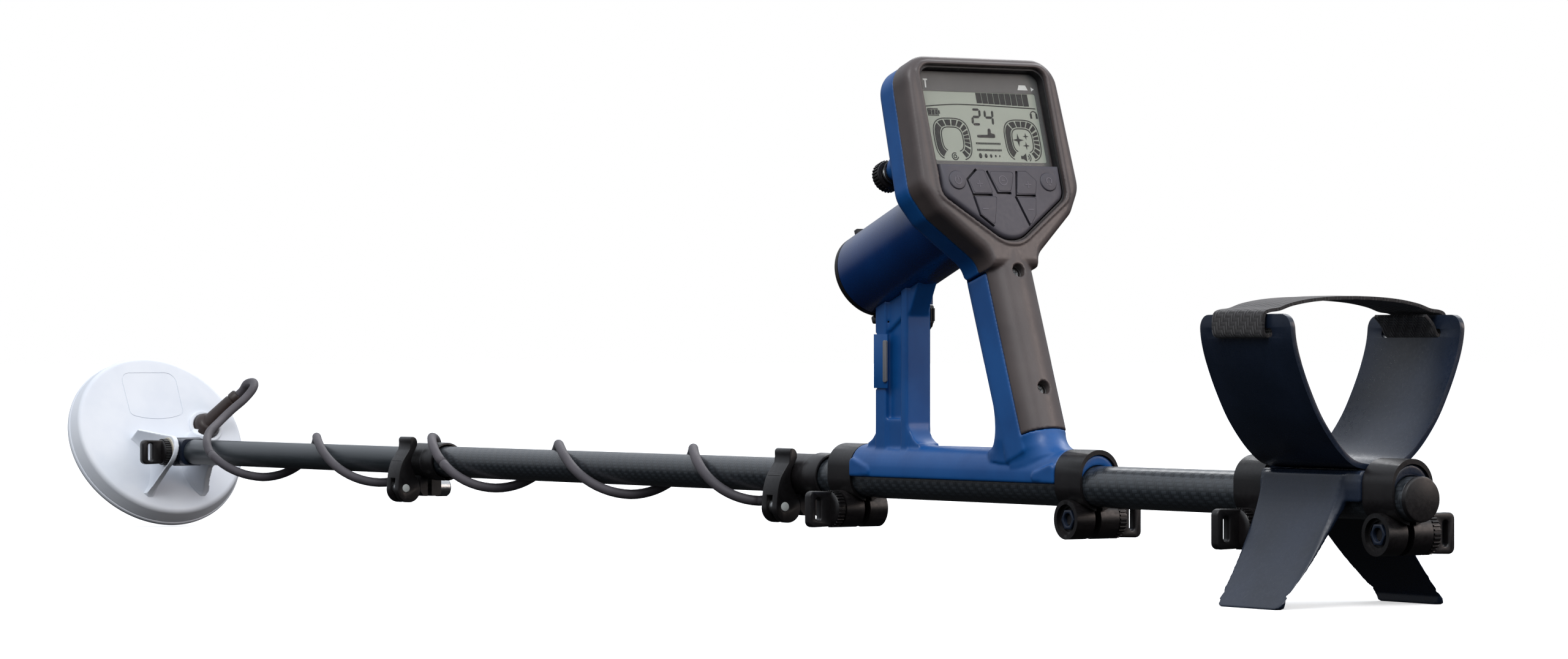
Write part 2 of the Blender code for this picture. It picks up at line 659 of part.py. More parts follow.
def face_outline(shrink=0.0):
    """The opening in the front cover that holds the window and the keypad."""
    s = shrink
    right = [(0, -52.5 + s, 18), (41.8 - s, -22 + s / 2, 9), (42.2 - s, 53.5 - s, 7)]
    left = [(-x, y, r) for x, y, r in reversed(right) if x]
    return rounded(right + left, 5)


def build_pod():
    frame = bpy.data.objects["pod_frame"]
    build_front_cover(frame)
    build_pod_housing(frame)
    build_display(frame)
    build_keypad(frame)


def build_front_cover(frame):
    grip_frame = bpy.data.objects["grip_frame"]
    body = prism(pod_outline(), POD_SEAM, POD_FACE)
    top = max(f.calc_center_median().z for f in body.faces)
    rim = [e for e in body.edges if all(abs(v.co.z - top) < 0.1 for v in e.verts)]
    bmesh.ops.bevel(body, geom=rim, offset=4.2, segments=2, profile=0.5, affect="EDGES")
    cover = place("front_cover", body, "grey_plastic", (0, 0, 0), frame)
    rear = [(GRIP_SEAM + GAP, -GRIP_HALF)] + grip_back_curve() + [(GRIP_SEAM + GAP, GRIP_HALF)]
    join(cover, prism(rear, -51.7, 62), (0, 0, 0), grip_frame)
    cut(cover, prism(face_outline(), -3.6, 20), (0, 0, 0), frame)
    cut(cover, prism(face_outline(3.0), -20, -2), (0, 0, 0), frame)
    for height in GRIP_SCREWS:
        well = aimed(turned(disc_profile(3.6, GRIP_SEAM + 4.2, 30), 16), (1, 0, 0), (0, 0, height))
        cut(cover, well, (0, 0, 0), grip_frame)
        hole = aimed(turned(disc_profile(1.7, 0, 20), 12), (1, 0, 0), (0, 0, height))
        cut(cover, hole, (0, 0, 0), grip_frame)
        screw = [
            (0, -6), (1.5, -6), (1.5, GRIP_SEAM + 4.5), (3.2, GRIP_SEAM + 4.5), (3.2, GRIP_SEAM + 6.8),
            (0, GRIP_SEAM + 6.8),
        ]
        name = "grip_screw_upper" if height > 0 else "grip_screw_lower"
        place(name, aimed(turned(screw, 12), (1, 0, 0)), "steel", (0, 0, height), grip_frame)


def grip_back_curve():
    """The rear of the grip's section, a blunt ellipse from one seam round to the other."""
    deep = GRIP_REAR - GRIP_SEAM
    steps = 10
    angles = [-pi / 2 + pi * i / steps for i in range(1, steps)]
    return [(GRIP_SEAM + deep * abs(cos(a)) ** 0.85, GRIP_HALF * sin(a)) for a in angles]


def build_pod_housing(frame):
    """The blue back of the pod, a tray with the battery tube and the socket let into its floor."""
    body = prism(pod_outline(0.4), POD_BACK, POD_SEAM - GAP)
    low = min(v.co.z for v in body.verts)
    rim = [e for e in body.edges if all(abs(v.co.z - low) < 0.1 for v in e.verts)]
    bmesh.ops.bevel(body, geom=rim, offset=4.0, segments=2, profile=0.5, affect="EDGES")
    tray = place("pod_housing", body, "blue_plastic", (0, 0, 0), frame)
    cut(tray, prism(pod_outline(3.4), POD_BACK + 2.6, 0), (0, 0, 0), frame)
    socket = turned([
        (0, -46), (5.6, -46), (5.6, -42), (8.0, -38), (9.0, POD_BACK + 1), (0, POD_BACK + 1),
    ], 20)
    join(tray, socket, (SOCKET_PLACE[0], SOCKET_PLACE[1], 0), frame)
    bore = turned(disc_profile(3.2, -60, -30), 16)
    cut(tray, bore, (SOCKET_PLACE[0], SOCKET_PLACE[1], 0), frame)


def build_display(frame):
    window = rounded([(39.6, -2.2, 3), (41.2, 52.2, 5), (-41.2, 52.2, 5), (-39.6, -2.2, 3)], 3)
    place("display_window", prism(window, -1.7, 0), "glass", (0, 0, 0), frame)
    panel = [(38.0, -1.0), (38.0, 43.0), (-38.0, 43.0), (-38.0, -1.0)]
    place("lcd_panel", prism(panel, -5.4, -1.7 - GAP), "display", (0, 0, 0), frame)
    half_board = [(8, -38, 3), (32, -19, 4), (34, 46, 4)]
    board = rounded(half_board + [(-x, y, r) for x, y, r in reversed(half_board)], 2)
    place("circuit_board", prism(board, -10.4, -8.8), "board", (0, 0, 0), frame)
    cone = turned([(0, -7), (13, -7), (13, -2), (9, -1), (4, -5), (0, -5.4)], 24)
    place("speaker", cone, "black_plastic", (0, 38, POD_BACK + 2.9 + 7.0), frame)


def build_keypad(frame):
    """The soft membrane, crowned over the display's level, and the seven caps that press it."""
    low_edge = face_outline(0.4)
    outline = [(x, min(y, -3.4)) for x, y in low_edge]
    outline = [p for i, p in enumerate(outline) if p != outline[i - 1]]
    top = [(x * 0.9, -21 + (y + 21) * 0.9) for x, y in outline]
    levels = ((outline, -1.7), (outline, 2.4), (top, KEY_LIFT - 0.8))
    rings = [[(x, y, height) for x, y in line] for line, height in levels]
    pad = place("keypad", skin(rings), "grey_plastic", (0, 0, 0), frame)
    floor = KEY_LIFT - 2.6
    for name, (x, y) in ROUND_KEYS.items():
        cap = turned(disc_profile(5.4, 0, 2.2), 20)
        place(name, cap, "grey_plastic", (x, y, floor + KEY_TRAVEL + 0.2), frame)
        cut(pad, turned(disc_profile(5.8, floor, 20), 20), (x, y, 0), frame)
    for name, corners in PAD_KEYS.items():
        x = sum(c[0] for c in corners) / len(corners)
        y = sum(c[1] for c in corners) / len(corners)
        cap = prism(rounded([(cx - x, cy - y, r) for cx, cy, r in corners], 2), 0, 2.2)
        place(name, cap, "grey_plastic", (x, y, floor + KEY_TRAVEL + 0.2), frame)
        grown = [((cx - x) * 1.07, (cy - y) * 1.07, r) for cx, cy, r in corners]
        cut(pad, prism(rounded(grown, 2), floor, 20), (x, y, 0), frame)


def build_socket_cap():
    """The knurled cap that screws over the headset socket."""
    frame = bpy.data.objects["pod_frame"]
    shape = [
        (0, -54), (8.0, -54), (8.9, -53), (8.9, -46.8), (8.0, -46.3), (6.2, -46.3), (6.2, -50.5), (0, -50.5),
    ]
    place("socket_cap", turned(shape, 20), "black_plastic", (SOCKET_PLACE[0], SOCKET_PLACE[1], 0), frame)


# The battery housing, drawn from the middle of its front end with Z along its axis


def build_battery():
    frame = bpy.data.objects["housing_frame"]
    inner = HOUSING_R - HOUSING_WALL
    wall = ring_profile(inner, HOUSING_R, CAP_THICK + GAP, HOUSING_LONG + 8)
    tube = place("battery_housing", turned(wall, HOUSING_SIDES), "blue_plastic", (0, 0, 0), frame)
    cut(tube, box((-70, -75, POD_BACK - GAP), (70, 80, 40)), (0, 0, 0), bpy.data.objects["pod_frame"])
    station, y = PLUG_PLACE
    boss = turned(disc_profile(6.4, 98.5, 112), 20)
    join(tube, boss, on_shaft(station, y))
    cut(tube, turned(disc_profile(inner, CAP_THICK, HOUSING_LONG + 20), HOUSING_SIDES), (0, 0, 0), frame)
    pack = [(0, 12), (18, 12), (20, 14), (20, 92), (18, 94), (6, 94), (6, 96), (0, 96)]
    place("battery_pack", turned(pack, 20), "black_plastic", (0, 0, 0), frame)
    hinge = -HOUSING_R - 1.8  # the cap's hinge is over the tube's top edge
    cap = [
        (0, 0), (HOUSING_R - 1.5, 0), (HOUSING_R, 1.0), (HOUSING_R, CAP_THICK), (inner - GAP, CAP_THICK),
        (inner - GAP, 8), (inner - 2, 8), (inner - 2, 6), (0, 6),
    ]
    lid = aimed(turned(cap, HOUSING_SIDES), (0, 0, 1), (-hinge, 0, -CAP_THICK))
    door = place("battery_cap", lid, "black_plastic", (hinge, 0, CAP_THICK), frame)
    knuckle = box((-1.6, -5, -3.4), (3.4, 5, -0.2))
    join(door, knuckle, (hinge, 0, CAP_THICK), frame)
    catch = rounded([
        (0.6, -3.2, 1), (5.2, -3.2, 1), (5.2, 9.5, 1), (2.6, 9.5, 1), (2.6, -0.2, 0), (0.6, -0.2, 0),
    ], 2)
    latch = side_view(catch, -6.5, 6.5)
    place("battery_latch", latch, "black_plastic", (HOUSING_R, 0, CAP_THICK + 1.0), frame)


def build_door_and_plug():
    low, high = PORT_DOOR[0] + GAP, PORT_DOOR[1] - GAP
    hinge = on_shaft(POST_FRONT - 1.0, POST_HALF - 0.8, 0)
    near = -2 * POST_HALF - 0.1  # the door's outer edge, just past the post's near side
    door = place("port_door", box((-1.0, near, low), (0.5, -0.2, high)), "blue_plastic", hinge)
    join(door, box((-0.8, near, low), (12.6, near + 0.6, high)), hinge)
    join(door, box((9.9, near - 0.7, low + 4), (12.6, near + 0.6, high - 4)), hinge)
    station, y = PLUG_PLACE
    plug = [(0, 83.5), (4.6, 83.5), (6.6, 86), (7.0, 88), (7.6, 88), (7.6, 97.4), (6.6, 98.2), (0, 98.2)]
    place("coil_plug", turned(plug, 24), "black_plastic", on_shaft(station, y, 0))


# The cuff and its stand


def offset_left(curve, offset):
    """An open curve moved square to itself, to the left of its direction."""
    out = []
    for i, (y, z) in enumerate(curve):
        before, after = Vector(curve[max(i - 1, 0)]), Vector(curve[min(i + 1, len(curve) - 1)])
        along = (after - before).normalized()
        out.append((y - along.y * offset, z + along.x * offset))
    return out


def cuff_half(offset):
    """Half of the cuff's section from the bottom middle to its top, moved inwards by offset."""
    return [(0.0, CUFF_CURVE[0][1] + offset)] + offset_left(CUFF_CURVE, offset)[1:]


def build_cuff():
    origin = on_shaft(0)
    outer, inner = cuff_half(0), cuff_half(CUFF_WALL)
    loop = outer + inner[::-1] + [(-y, z) for y, z in inner[1:]] + [(-y, z) for y, z in reversed(outer[1:])]
    cuff = place("arm_cuff", section(loop, -CUFF_ENDS[1], -CUFF_ENDS[0]), "cuff_plastic", origin)
    top = outer[-1][1]
    slot = rounded([(-94, 78.6, 1.5), (-48, 78.6, 1.5), (-48, 83.4, 1.5), (-94, 83.4, 1.5)], 2)
    cut(cuff, side_view(slot, -70, 70), origin)
    for end, way in ((-CUFF_ENDS[0], -1), (-CUFF_ENDS[1], 1)):
        corner = 7.0
        curve = arc((end + way * corner, top - corner), corner, 90, 90 + way * 90, 4)
        nib = [
            (end - way * 2, top + 2), (end + way * corner, top + 2),
        ] + curve + [(end - way * 2, top - corner)]
        cut(cuff, side_view(nib, -70, 70), origin)


def build_strap():
    """A band over the arm, from outside one wall of the cuff to outside the other."""
    outer = [(y, z) for y, z in offset_left(STRAP_CURVE, -STRAP_THICK / 2)]
    inner = [(y, z) for y, z in offset_left(STRAP_CURVE, STRAP_THICK / 2)]
    outer[-1], inner[-1] = (0.0, outer[-1][1]), (0.0, inner[-1][1])
    loop = outer + [(-y, z) for y, z in reversed(outer[:-1])]
    loop += [(-y, z) for y, z in inner[:-1]] + list(reversed(inner))
    place("cuff_strap", section(loop, -STRAP_ENDS[1], -STRAP_ENDS[0]), "webbing", on_shaft(0))


def leg_ring(y, z, lean, thick, front, rear):
    """The cross section of a leg where its outer face passes (y, z), as four corners."""
    dy, dz = thick * cos(lean), thick * sin(lean)
    return [(-front, y, z), (-rear, y, z), (-rear, y - dy, z - dz), (-front, y - dy, z - dz)]


def build_stand():
    """The saddle that both cuff clamps hold down on the tube, with a leg curving out on each side."""
    origin = on_shaft(0)
    front_ring = CLAMPS["cuff_front"][0] - CLAMP_LONG / 2 - GAP
    rear_ring = CLAMPS["cuff_rear"][0] + CLAMP_LONG / 2 + GAP
    half = [(14.4, -2.0), (14.6, 8.0), (12.6, 13.6), (0, 13.2)]
    stand = place("cuff_stand", section(saddle(half), -front_ring, -rear_ring), "cuff_plastic", origin)
    join(
        stand, section(tongue_outline(), -CLAMPS["cuff_front"][0] - 10.5, -CLAMPS["cuff_rear"][0] + 10.5),
        origin,
    )
    for hand in (-1, 1):
        stations = [  # y, z, lean in degrees, thickness, front, rear
            (15.2, 12.0, 0, 8.0, 108, 40),
            (19.0, -3.0, -14, 8.0, 108, 42),
            (27.5, -19.5, -28, 6.6, 105, 43.5),
            (38.5, -36.0, -36, 5.6, 101, 44),
            (52.6, 1.6 - AXIS, -42, 5.0, 96, 44.5),
            (53.2, -AXIS, -30, 5.6, 95, 45),
        ]
        rings = [leg_ring(y, z, radians(lean), t, f, r) for y, z, lean, t, f, r in stations]
        rings[-1] = [(x, y, -AXIS) for x, y, _ in rings[-1]]
        rings = [[(x, hand * y, z) for x, y, z in ring] for ring in rings]
        join(stand, skin(rings), origin)
    seat = cuff_half(-GAP) + [(60, 120), (-60, 120)] + [(-y, z) for y, z in reversed(cuff_half(-GAP)[1:])]
    cut(stand, section(seat, -112, -28), origin)
    cut(stand, tube_relief(140, 2), on_shaft(140))


# The coil lead, in one run from the gland to the plug. It lies in four lengths, split at the cam locks.


def smooth_path(points, spacing=12.0):
    """Points a cord's width or two apart on a Catmull-Rom curve through the given ones."""
    path = []
    ends = [points[0] * 2 - points[1]] + points + [points[-1] * 2 - points[-2]]
    for a, b, c, d in zip(ends, ends[1:], ends[2:], ends[3:]):
        steps = max(1, round((c - b).length / spacing))
        for k in range(steps):
            t = k / steps
            bend = (2 * a - 5 * b + 4 * c - d) * t ** 2 + (3 * b - a - 3 * c + d) * t ** 3
            path.append(0.5 * (2 * b + (c - a) * t + bend))
    path.append(points[-1])
    return path


def wrap(turns, per_turn=12):
    """Points on a winding round the shaft, which sags a little under it, through (station, angle, radius) turns.
    0 degrees is over the shaft, 90 is on its near side and each whole turn adds 360."""
    knots = []
    for (s0, a0, r0), (s1, a1, r1) in zip(turns, turns[1:]):
        steps = max(1, round((a1 - a0) / 360 * per_turn))
        for k in range(steps):
            t = k / steps
            knots.append((s0 + (s1 - s0) * t, a0 + (a1 - a0) * t, r0 + (r1 - r0) * t))
    knots.append(turns[-1])
    return [Vector(on_shaft(s, -r * sin(radians(a)), r * cos(radians(a)) - LEAD_SAG)) for s, a, r in knots]


def lead(name, path):
    curve = bpy.data.curves.new(name, "CURVE")
    curve.dimensions = "3D"
    curve.bevel_depth = LEAD_R * MM
    curve.bevel_resolution = 2
    curve.use_fill_caps = True
    spline = curve.splines.new("POLY")
    spline.points.add(len(path) - 1)
    for knot, point in zip(spline.points, path):
        knot.co = (*(point * MM), 1)
    curve.materials.append(finish("lead_rubber"))
    obj = bpy.data.objects.new(name, curve)
    bpy.context.scene.collection.objects.link(obj)


def part_ends(first, second):
    """Leaves a small gap between two lengths of the lead that meet, square to the lead."""
    middle, along = first[-1], (second[1] - first[-2]).normalized()
    first[-1:] = [middle - along * 2, middle - along * GAP / 2]
    second[:1] = [middle + along * GAP / 2, middle + along * 2]


def build_lead():
    tilt = Matrix.Rotation(radians(COIL_TILT), 3, "Y")
    seat = Vector((-COIL_BACK + GLAND_SEAT[0], GLAND_SEAT[1], -COIL_RISE + GLAND_SOCKET))
    aim = Vector(GLAND_AIM).normalized()
    leave = Vector(on_shaft(COIL_PIVOT)) + tilt @ (seat + aim * (GLAND_LONG + 0.6))
    loop = [leave, leave + tilt @ aim * 4] + [Vector(on_shaft(*knot)) for knot in LEAD_LOOP]
    runs = {
        "coil_lead_loop": smooth_path(loop + wrap([(1301.0, 80, 14.4), NEAR_SIDE]), 8.0),
        "coil_lead_lower": wrap(LOWER_WRAP),
        "coil_lead_lock": wrap(LOCK_WRAP, 16),
        "coil_lead_middle": wrap(MIDDLE_WRAP),
        "coil_lead_pod": smooth_path(wrap([UNDER]) + [Vector(on_shaft(*knot)) for knot in POD_RUN]),
    }
    paths = list(runs.values())
    for first, second in zip(paths, paths[1:]):
        part_ends(first, second)
    for name, path in runs.items():
        lead(name, path)


def build_frames():
    lean = Matrix.Rotation(radians(-GRIP_LEAN), 3, "Y")
    empty("grip_frame", on_shaft(GRIP_MIDDLE[0], 0, GRIP_MIDDLE[1]), lean)
    lean = Matrix.Rotation(radians(90 - HOUSING_LEAN), 3, "Y")
    empty("housing_frame", on_shaft(HOUSING_FRONT[0], 0, HOUSING_FRONT[1]), lean)
    a = radians(POD_LEAN)
    across, up, out = Vector((0, 1, 0)), Vector((-sin(a), 0, cos(a))), Vector((cos(a), 0, sin(a)))
    face = Matrix((across, up, out)).transposed()
    empty("pod_frame", on_shaft(POD_ORIGIN[0], 0, POD_ORIGIN[1]), face)


def main():
    clear_scene()
    build_frames()
    build_coil()
    build_tubes()
    build_lock("1", MIDDLE_R, LOWER_R)
    build_lock("2", UPPER_R, MIDDLE_R)
    for name, (station, hand) in CLAMPS.items():
        build_clamp(name, station, hand)
    build_handle_frame()
    build_pod()
    build_socket_cap()
    build_battery()
    build_door_and_plug()
    build_cuff()
    build_strap()
    build_stand()
    build_lead()


main()
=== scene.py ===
from math import atan2, cos, pi, radians, sin

import bmesh
import bpy
from mathutils import Matrix, Vector


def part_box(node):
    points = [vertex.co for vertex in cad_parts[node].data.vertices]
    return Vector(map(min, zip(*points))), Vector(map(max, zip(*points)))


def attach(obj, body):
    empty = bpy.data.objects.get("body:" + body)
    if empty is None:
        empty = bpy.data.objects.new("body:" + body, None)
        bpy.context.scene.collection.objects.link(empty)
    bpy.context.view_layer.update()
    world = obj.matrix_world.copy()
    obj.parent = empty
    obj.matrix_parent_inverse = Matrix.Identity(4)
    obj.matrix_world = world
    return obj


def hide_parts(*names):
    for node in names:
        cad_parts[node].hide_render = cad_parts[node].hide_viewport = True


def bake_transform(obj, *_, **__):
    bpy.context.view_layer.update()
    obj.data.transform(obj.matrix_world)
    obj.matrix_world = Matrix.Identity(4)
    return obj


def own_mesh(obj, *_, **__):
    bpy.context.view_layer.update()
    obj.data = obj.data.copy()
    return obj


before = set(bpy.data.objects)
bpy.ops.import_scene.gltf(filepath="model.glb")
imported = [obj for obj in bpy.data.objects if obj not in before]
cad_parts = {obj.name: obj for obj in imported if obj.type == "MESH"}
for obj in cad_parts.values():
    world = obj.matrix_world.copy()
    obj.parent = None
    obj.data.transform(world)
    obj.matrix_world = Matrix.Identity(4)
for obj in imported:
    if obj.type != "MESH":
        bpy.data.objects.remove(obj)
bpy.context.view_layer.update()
print("frame loaded")

# The shaft's own measures, in millimetres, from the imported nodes
toMetres = 0.001
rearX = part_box("end_cap")[1].x / toMetres
axisZ = (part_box("upper_tube")[0].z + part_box("upper_tube")[1].z) / 2 / toMetres


def onShaft(station, y=0.0, z=0.0):
    # a place given from the shaft's rear end, its axis and the middle
    return Vector((rearX - station, y, axisZ + z))


def turnedAt(place, angle):
    return Matrix.Translation(place) @ Matrix.Rotation(radians(angle), 4, "Y")


def podPlace():
    lean = radians(17.4)
    across, up, out = Vector((0, 1, 0)), Vector((-sin(lean), 0, cos(lean))), Vector((cos(lean), 0, sin(lean)))
    turn = Matrix((across, up, out)).transposed().to_4x4()
    return Matrix.Translation(onShaft(361.9, 0, 176.4)) @ turn


shaft = Matrix.Translation(onShaft(0))
grip = turnedAt(onShaft(340.7, 0, 73.3), -20.3)
housing = turnedAt(onShaft(483.0, 0, 114.4), 69.7)
coil = turnedAt(onShaft(1366.0), 60.7)
pod = podPlace()

# The view and the light

view = {
    "place": (2.57661, -1.56174, 0.12651),
    "azimuth": 57.2,
    "pitch": 0.2545,
    "lens": 113.35,
}
studio = {
    "floor": (0.93, 0.93, 0.93),
    "floorHalf": 40.0,
    "backdrop": 1.0,
    "sky": 1.0,
    "horizon": 0.34,
    "ground": 0.015,
    "key": 34.0,
    "fill": 8.0,
    "rim": 16.0,
    "warm": 9.0,
}


def aimCamera():
    data = bpy.data.cameras.new("camera")
    data.lens = view["lens"]
    data.sensor_width = 36.0
    data.clip_end = 60.0
    camera = bpy.data.objects.new("camera", data)
    a, p = radians(view["azimuth"]), radians(view["pitch"])
    ahead = Vector((-sin(a) * cos(p), cos(a) * cos(p), sin(p)))
    camera.location = view["place"]
    camera.rotation_euler = ahead.to_track_quat("-Z", "Y").to_euler()
    bpy.context.scene.collection.objects.link(camera)
    bpy.context.scene.camera = camera


def softLamp(name, place, target, wide, power, colour=(1, 1, 1)):
    data = bpy.data.lights.new(name, "AREA")
    data.shape = "RECTANGLE"
    data.size, data.size_y = wide
    data.energy = power
    data.color = colour
    lamp = bpy.data.objects.new(name, data)
    lamp.location = place
    lamp.rotation_euler = (Vector(target) - Vector(place)).to_track_quat("-Z", "Y").to_euler()
    bpy.context.scene.collection.objects.link(lamp)


def setStudio():
    scene = bpy.context.scene
    scene.view_settings.view_transform = "Standard"
    world = bpy.data.worlds.new("studio")
    scene.world = world
    world.use_nodes = True
    nodes, links = world.node_tree.nodes, world.node_tree.links
    nodes.clear()
    where = nodes.new("ShaderNodeTexCoord")
    split = nodes.new("ShaderNodeSeparateXYZ")
    ramp = nodes.new("ShaderNodeValToRGB")
    shift = nodes.new("ShaderNodeMath")
    shift.operation = "MULTIPLY_ADD"
    shift.inputs[1].default_value = 0.5
    shift.inputs[2].default_value = 0.5
    back = nodes.new("ShaderNodeBackground")
    out = nodes.new("ShaderNodeOutputWorld")
    stops = (
        (0.0, studio["ground"]), (0.45, studio["ground"]), (0.56, studio["horizon"]), (0.85, studio["sky"]),
    )
    ramp.color_ramp.elements[0].position = 0.0
    ramp.color_ramp.elements[1].position = 1.0
    while len(ramp.color_ramp.elements) < len(stops):
        ramp.color_ramp.elements.new(0.5)
    for stop, (position, level) in zip(ramp.color_ramp.elements, stops):
        stop.position = position
        stop.color = (level * 0.95, level, level * 1.08, 1)
    links.new(where.outputs["Generated"], split.inputs[0])
    links.new(split.outputs["Z"], shift.inputs[0])
    links.new(shift.outputs[0], ramp.inputs[0])
    links.new(ramp.outputs[0], back.inputs[0])
    seen = nodes.new("ShaderNodeBackground")
    seen.inputs[0].default_value = (studio["backdrop"], studio["backdrop"], studio["backdrop"], 1)
    rays, mix = nodes.new("ShaderNodeLightPath"), nodes.new("ShaderNodeMixShader")
    links.new(rays.outputs["Is Camera Ray"], mix.inputs[0])
    links.new(back.outputs[0], mix.inputs[1])
    links.new(seen.outputs[0], mix.inputs[2])
    links.new(mix.outputs[0], out.inputs[0])
    softLamp("key", (1.4, -1.6, 2.4), (0.1, 0, 0.1), (2.0, 1.2), studio["key"])
    softLamp("fill", (2.6, 0.4, 1.3), (0.3, 0, 0.1), (1.4, 1.0), studio["fill"])
    softLamp("rim", (-1.2, 1.6, 1.9), (-0.1, 0, 0.1), (2.4, 0.8), studio["rim"])
    softLamp("warm", (1.9, 1.5, 0.9), (0.35, 0, 0.2), (0.5, 1.2), studio["warm"], (1.0, 0.8, 0.7))
    layFloor()


def layFloor():
    # one wide pale sheet; it's seen but throws no light back
    bm = bmesh.new()
    far = studio["floorHalf"]
    bm.faces.new([bm.verts.new((x, y, 0)) for x, y in ((-far, -far), (far, -far), (far, far), (-far, far))])
    mesh = bpy.data.meshes.new("floor")
    bm.to_mesh(mesh)
    bm.free()
    mesh.shade_smooth()
    floor = bpy.data.objects.new("floor", mesh)
    bpy.context.scene.collection.objects.link(floor)
    surface = bpy.data.materials.new("paleFloor")
    surface.use_nodes = True
    shader = surface.node_tree.nodes["Principled BSDF"]
    shader.inputs["Base Color"].default_value = (*studio["floor"], 1)
    shader.inputs["Roughness"].default_value = 0.9
    shader.inputs["Emission Color"].default_value = (1, 1, 1, 1)
    shader.inputs["Emission Strength"].default_value = 0.55
    mesh.materials.append(surface)
    floor.visible_diffuse = False
    floor.visible_glossy = False


aimCamera()
setStudio()
print("camera and light set")

# Shapes as bmeshes in millimetres


def skin(rings, closed=True):
    bm = bmesh.new()
    rows = [[bm.verts.new(p) for p in ring] for ring in rings]
    count = len(rows[0])
    pairs = list(zip(rows, rows[1:]))
    if not closed:
        pairs.append((rows[-1], rows[0]))
    for low, high in pairs:
        for i in range(count):
            j = (i + 1) % count
            bm.faces.new((low[i], low[j], high[j], high[i]))
    if closed:
        bm.faces.new(rows[0][::-1])
        bm.faces.new(rows[-1])
    bmesh.ops.recalc_face_normals(bm, faces=bm.faces)
    return bm


def turned(profile, sides=72):
    # a closed (radius, height) profile about Z, where radius 0 is a pole
    bm = bmesh.new()
    rows = []
    for radius, height in profile:
        if radius == 0:
            rows.append([bm.verts.new((0, 0, height))])
        else:
            angles = [2 * pi * i / sides for i in range(sides)]
            rows.append([bm.verts.new((radius * cos(a), radius * sin(a), height)) for a in angles])
    for low, high in zip(rows, rows[1:] + rows[:1]):
        if len(low) == len(high) == 1:
            continue
        for i in range(sides):
            j = (i + 1) % sides
            if len(low) == 1:
                bm.faces.new((low[0], high[j], high[i]))
            elif len(high) == 1:
                bm.faces.new((low[i], low[j], high[0]))
            else:
                bm.faces.new((low[i], low[j], high[j], high[i]))
    bmesh.ops.recalc_face_normals(bm, faces=bm.faces)
    return bm


def ringProfile(inner, outer, low, high, edge=0.0):
    e = edge
    if not e:
        return [(inner, low), (outer, low), (outer, high), (inner, high)]
    return [
        (inner, low + e), (inner + e, low), (outer - e, low), (outer, low + e), (outer, high - e),
        (outer - e, high), (inner + e, high), (inner, high - e),
    ]


def discProfile(radius, low, high, edge=0.0):
    e = edge
    if not e:
        return [(0, low), (radius, low), (radius, high), (0, high)]
    return [
        (0, low), (radius - e, low), (radius - 0.3 * e, low + 0.3 * e), (radius, low + e),
        (radius, high - e),
        (radius - 0.3 * e, high - 0.3 * e), (radius - e, high), (0, high),
    ]


def arc(centre, radius, start, end, steps):
    angles = [radians(start + (end - start) * i / steps) for i in range(steps + 1)]
    return [(centre[0] + radius * cos(a), centre[1] + radius * sin(a)) for a in angles]


def rounded(corners, steps=8):
    # an outline through (x, y, radius) corners
    outline = []
    for i, (x, y, radius) in enumerate(corners):
        here = Vector((x, y))
        if radius == 0:
            outline.append((x, y))
            continue
        back = (Vector(corners[i - 1][:2]) - here).normalized()
        ahead = (Vector(corners[(i + 1) % len(corners)][:2]) - here).normalized()
        half = back.angle(ahead) / 2
        middle = here + (back + ahead).normalized() * radius / sin(half)
        first = here + back * radius / abs(sin(half) / cos(half)) - middle
        last = here + ahead * radius / abs(sin(half) / cos(half)) - middle
        turn = first.angle_signed(last)
        start = atan2(first.y, first.x)
        for k in range(steps + 1):
            a = start - turn * k / steps
            outline.append((middle.x + radius * cos(a), middle.y + radius * sin(a)))
    return outline


def smoothLine(points, steps=6):
    # a Catmull-Rom line through the points, which may have any number of coordinates
    points = [Vector(p) for p in points]
    ends = [points[0] * 2 - points[1]] + points + [points[-1] * 2 - points[-2]]
    line = []
    for a, b, c, d in zip(ends, ends[1:], ends[2:], ends[3:]):
        for k in range(steps):
            t = k / steps
            bend = (2 * a - 5 * b + 4 * c - d) * t ** 2 + (3 * b - a - 3 * c + d) * t ** 3
            line.append(0.5 * (2 * b + (c - a) * t + bend))
    line.append(points[-1])
    return line


def prism(outline, low, high):
    return skin([[(x, y, low) for x, y in outline], [(x, y, high) for x, y in outline]])


def section(outline, first, last):
    return skin([[(x, y, z) for y, z in outline] for x in (first, last)])


def sideView(outline, first, last):
    return skin([[(x, y, z) for x, z in outline] for y in (first, last)])


def slab(low, high):
    (x0, y0, z0), (x1, y1, z1) = low, high
    return prism([(x0, y0), (x1, y0), (x1, y1), (x0, y1)], z0, z1)


def frameOf(outer, inner, low, high):
    # a flat frame between two outlines of equally many points
    rings = [
        [(x, y, z) for x, y in line] for line,
        z in ((outer, low), (outer, high), (inner, high), (inner, low))
    ]
    return skin(rings, closed=False)


def aimed(bm, towards, start=(0, 0, 0)):
    turn = Vector(towards).to_track_quat("Z", "Y").to_matrix().to_4x4()
    bmesh.ops.transform(bm, matrix=Matrix.Translation(start) @ turn, verts=bm.verts)
    return bm


def alongY(profile, sides=48):
    return aimed(turned(profile, sides), (0, 1, 0))


def alongX(profile, sides=72, start=(0, 0, 0)):
    return aimed(turned(profile, sides), (1, 0, 0), start)


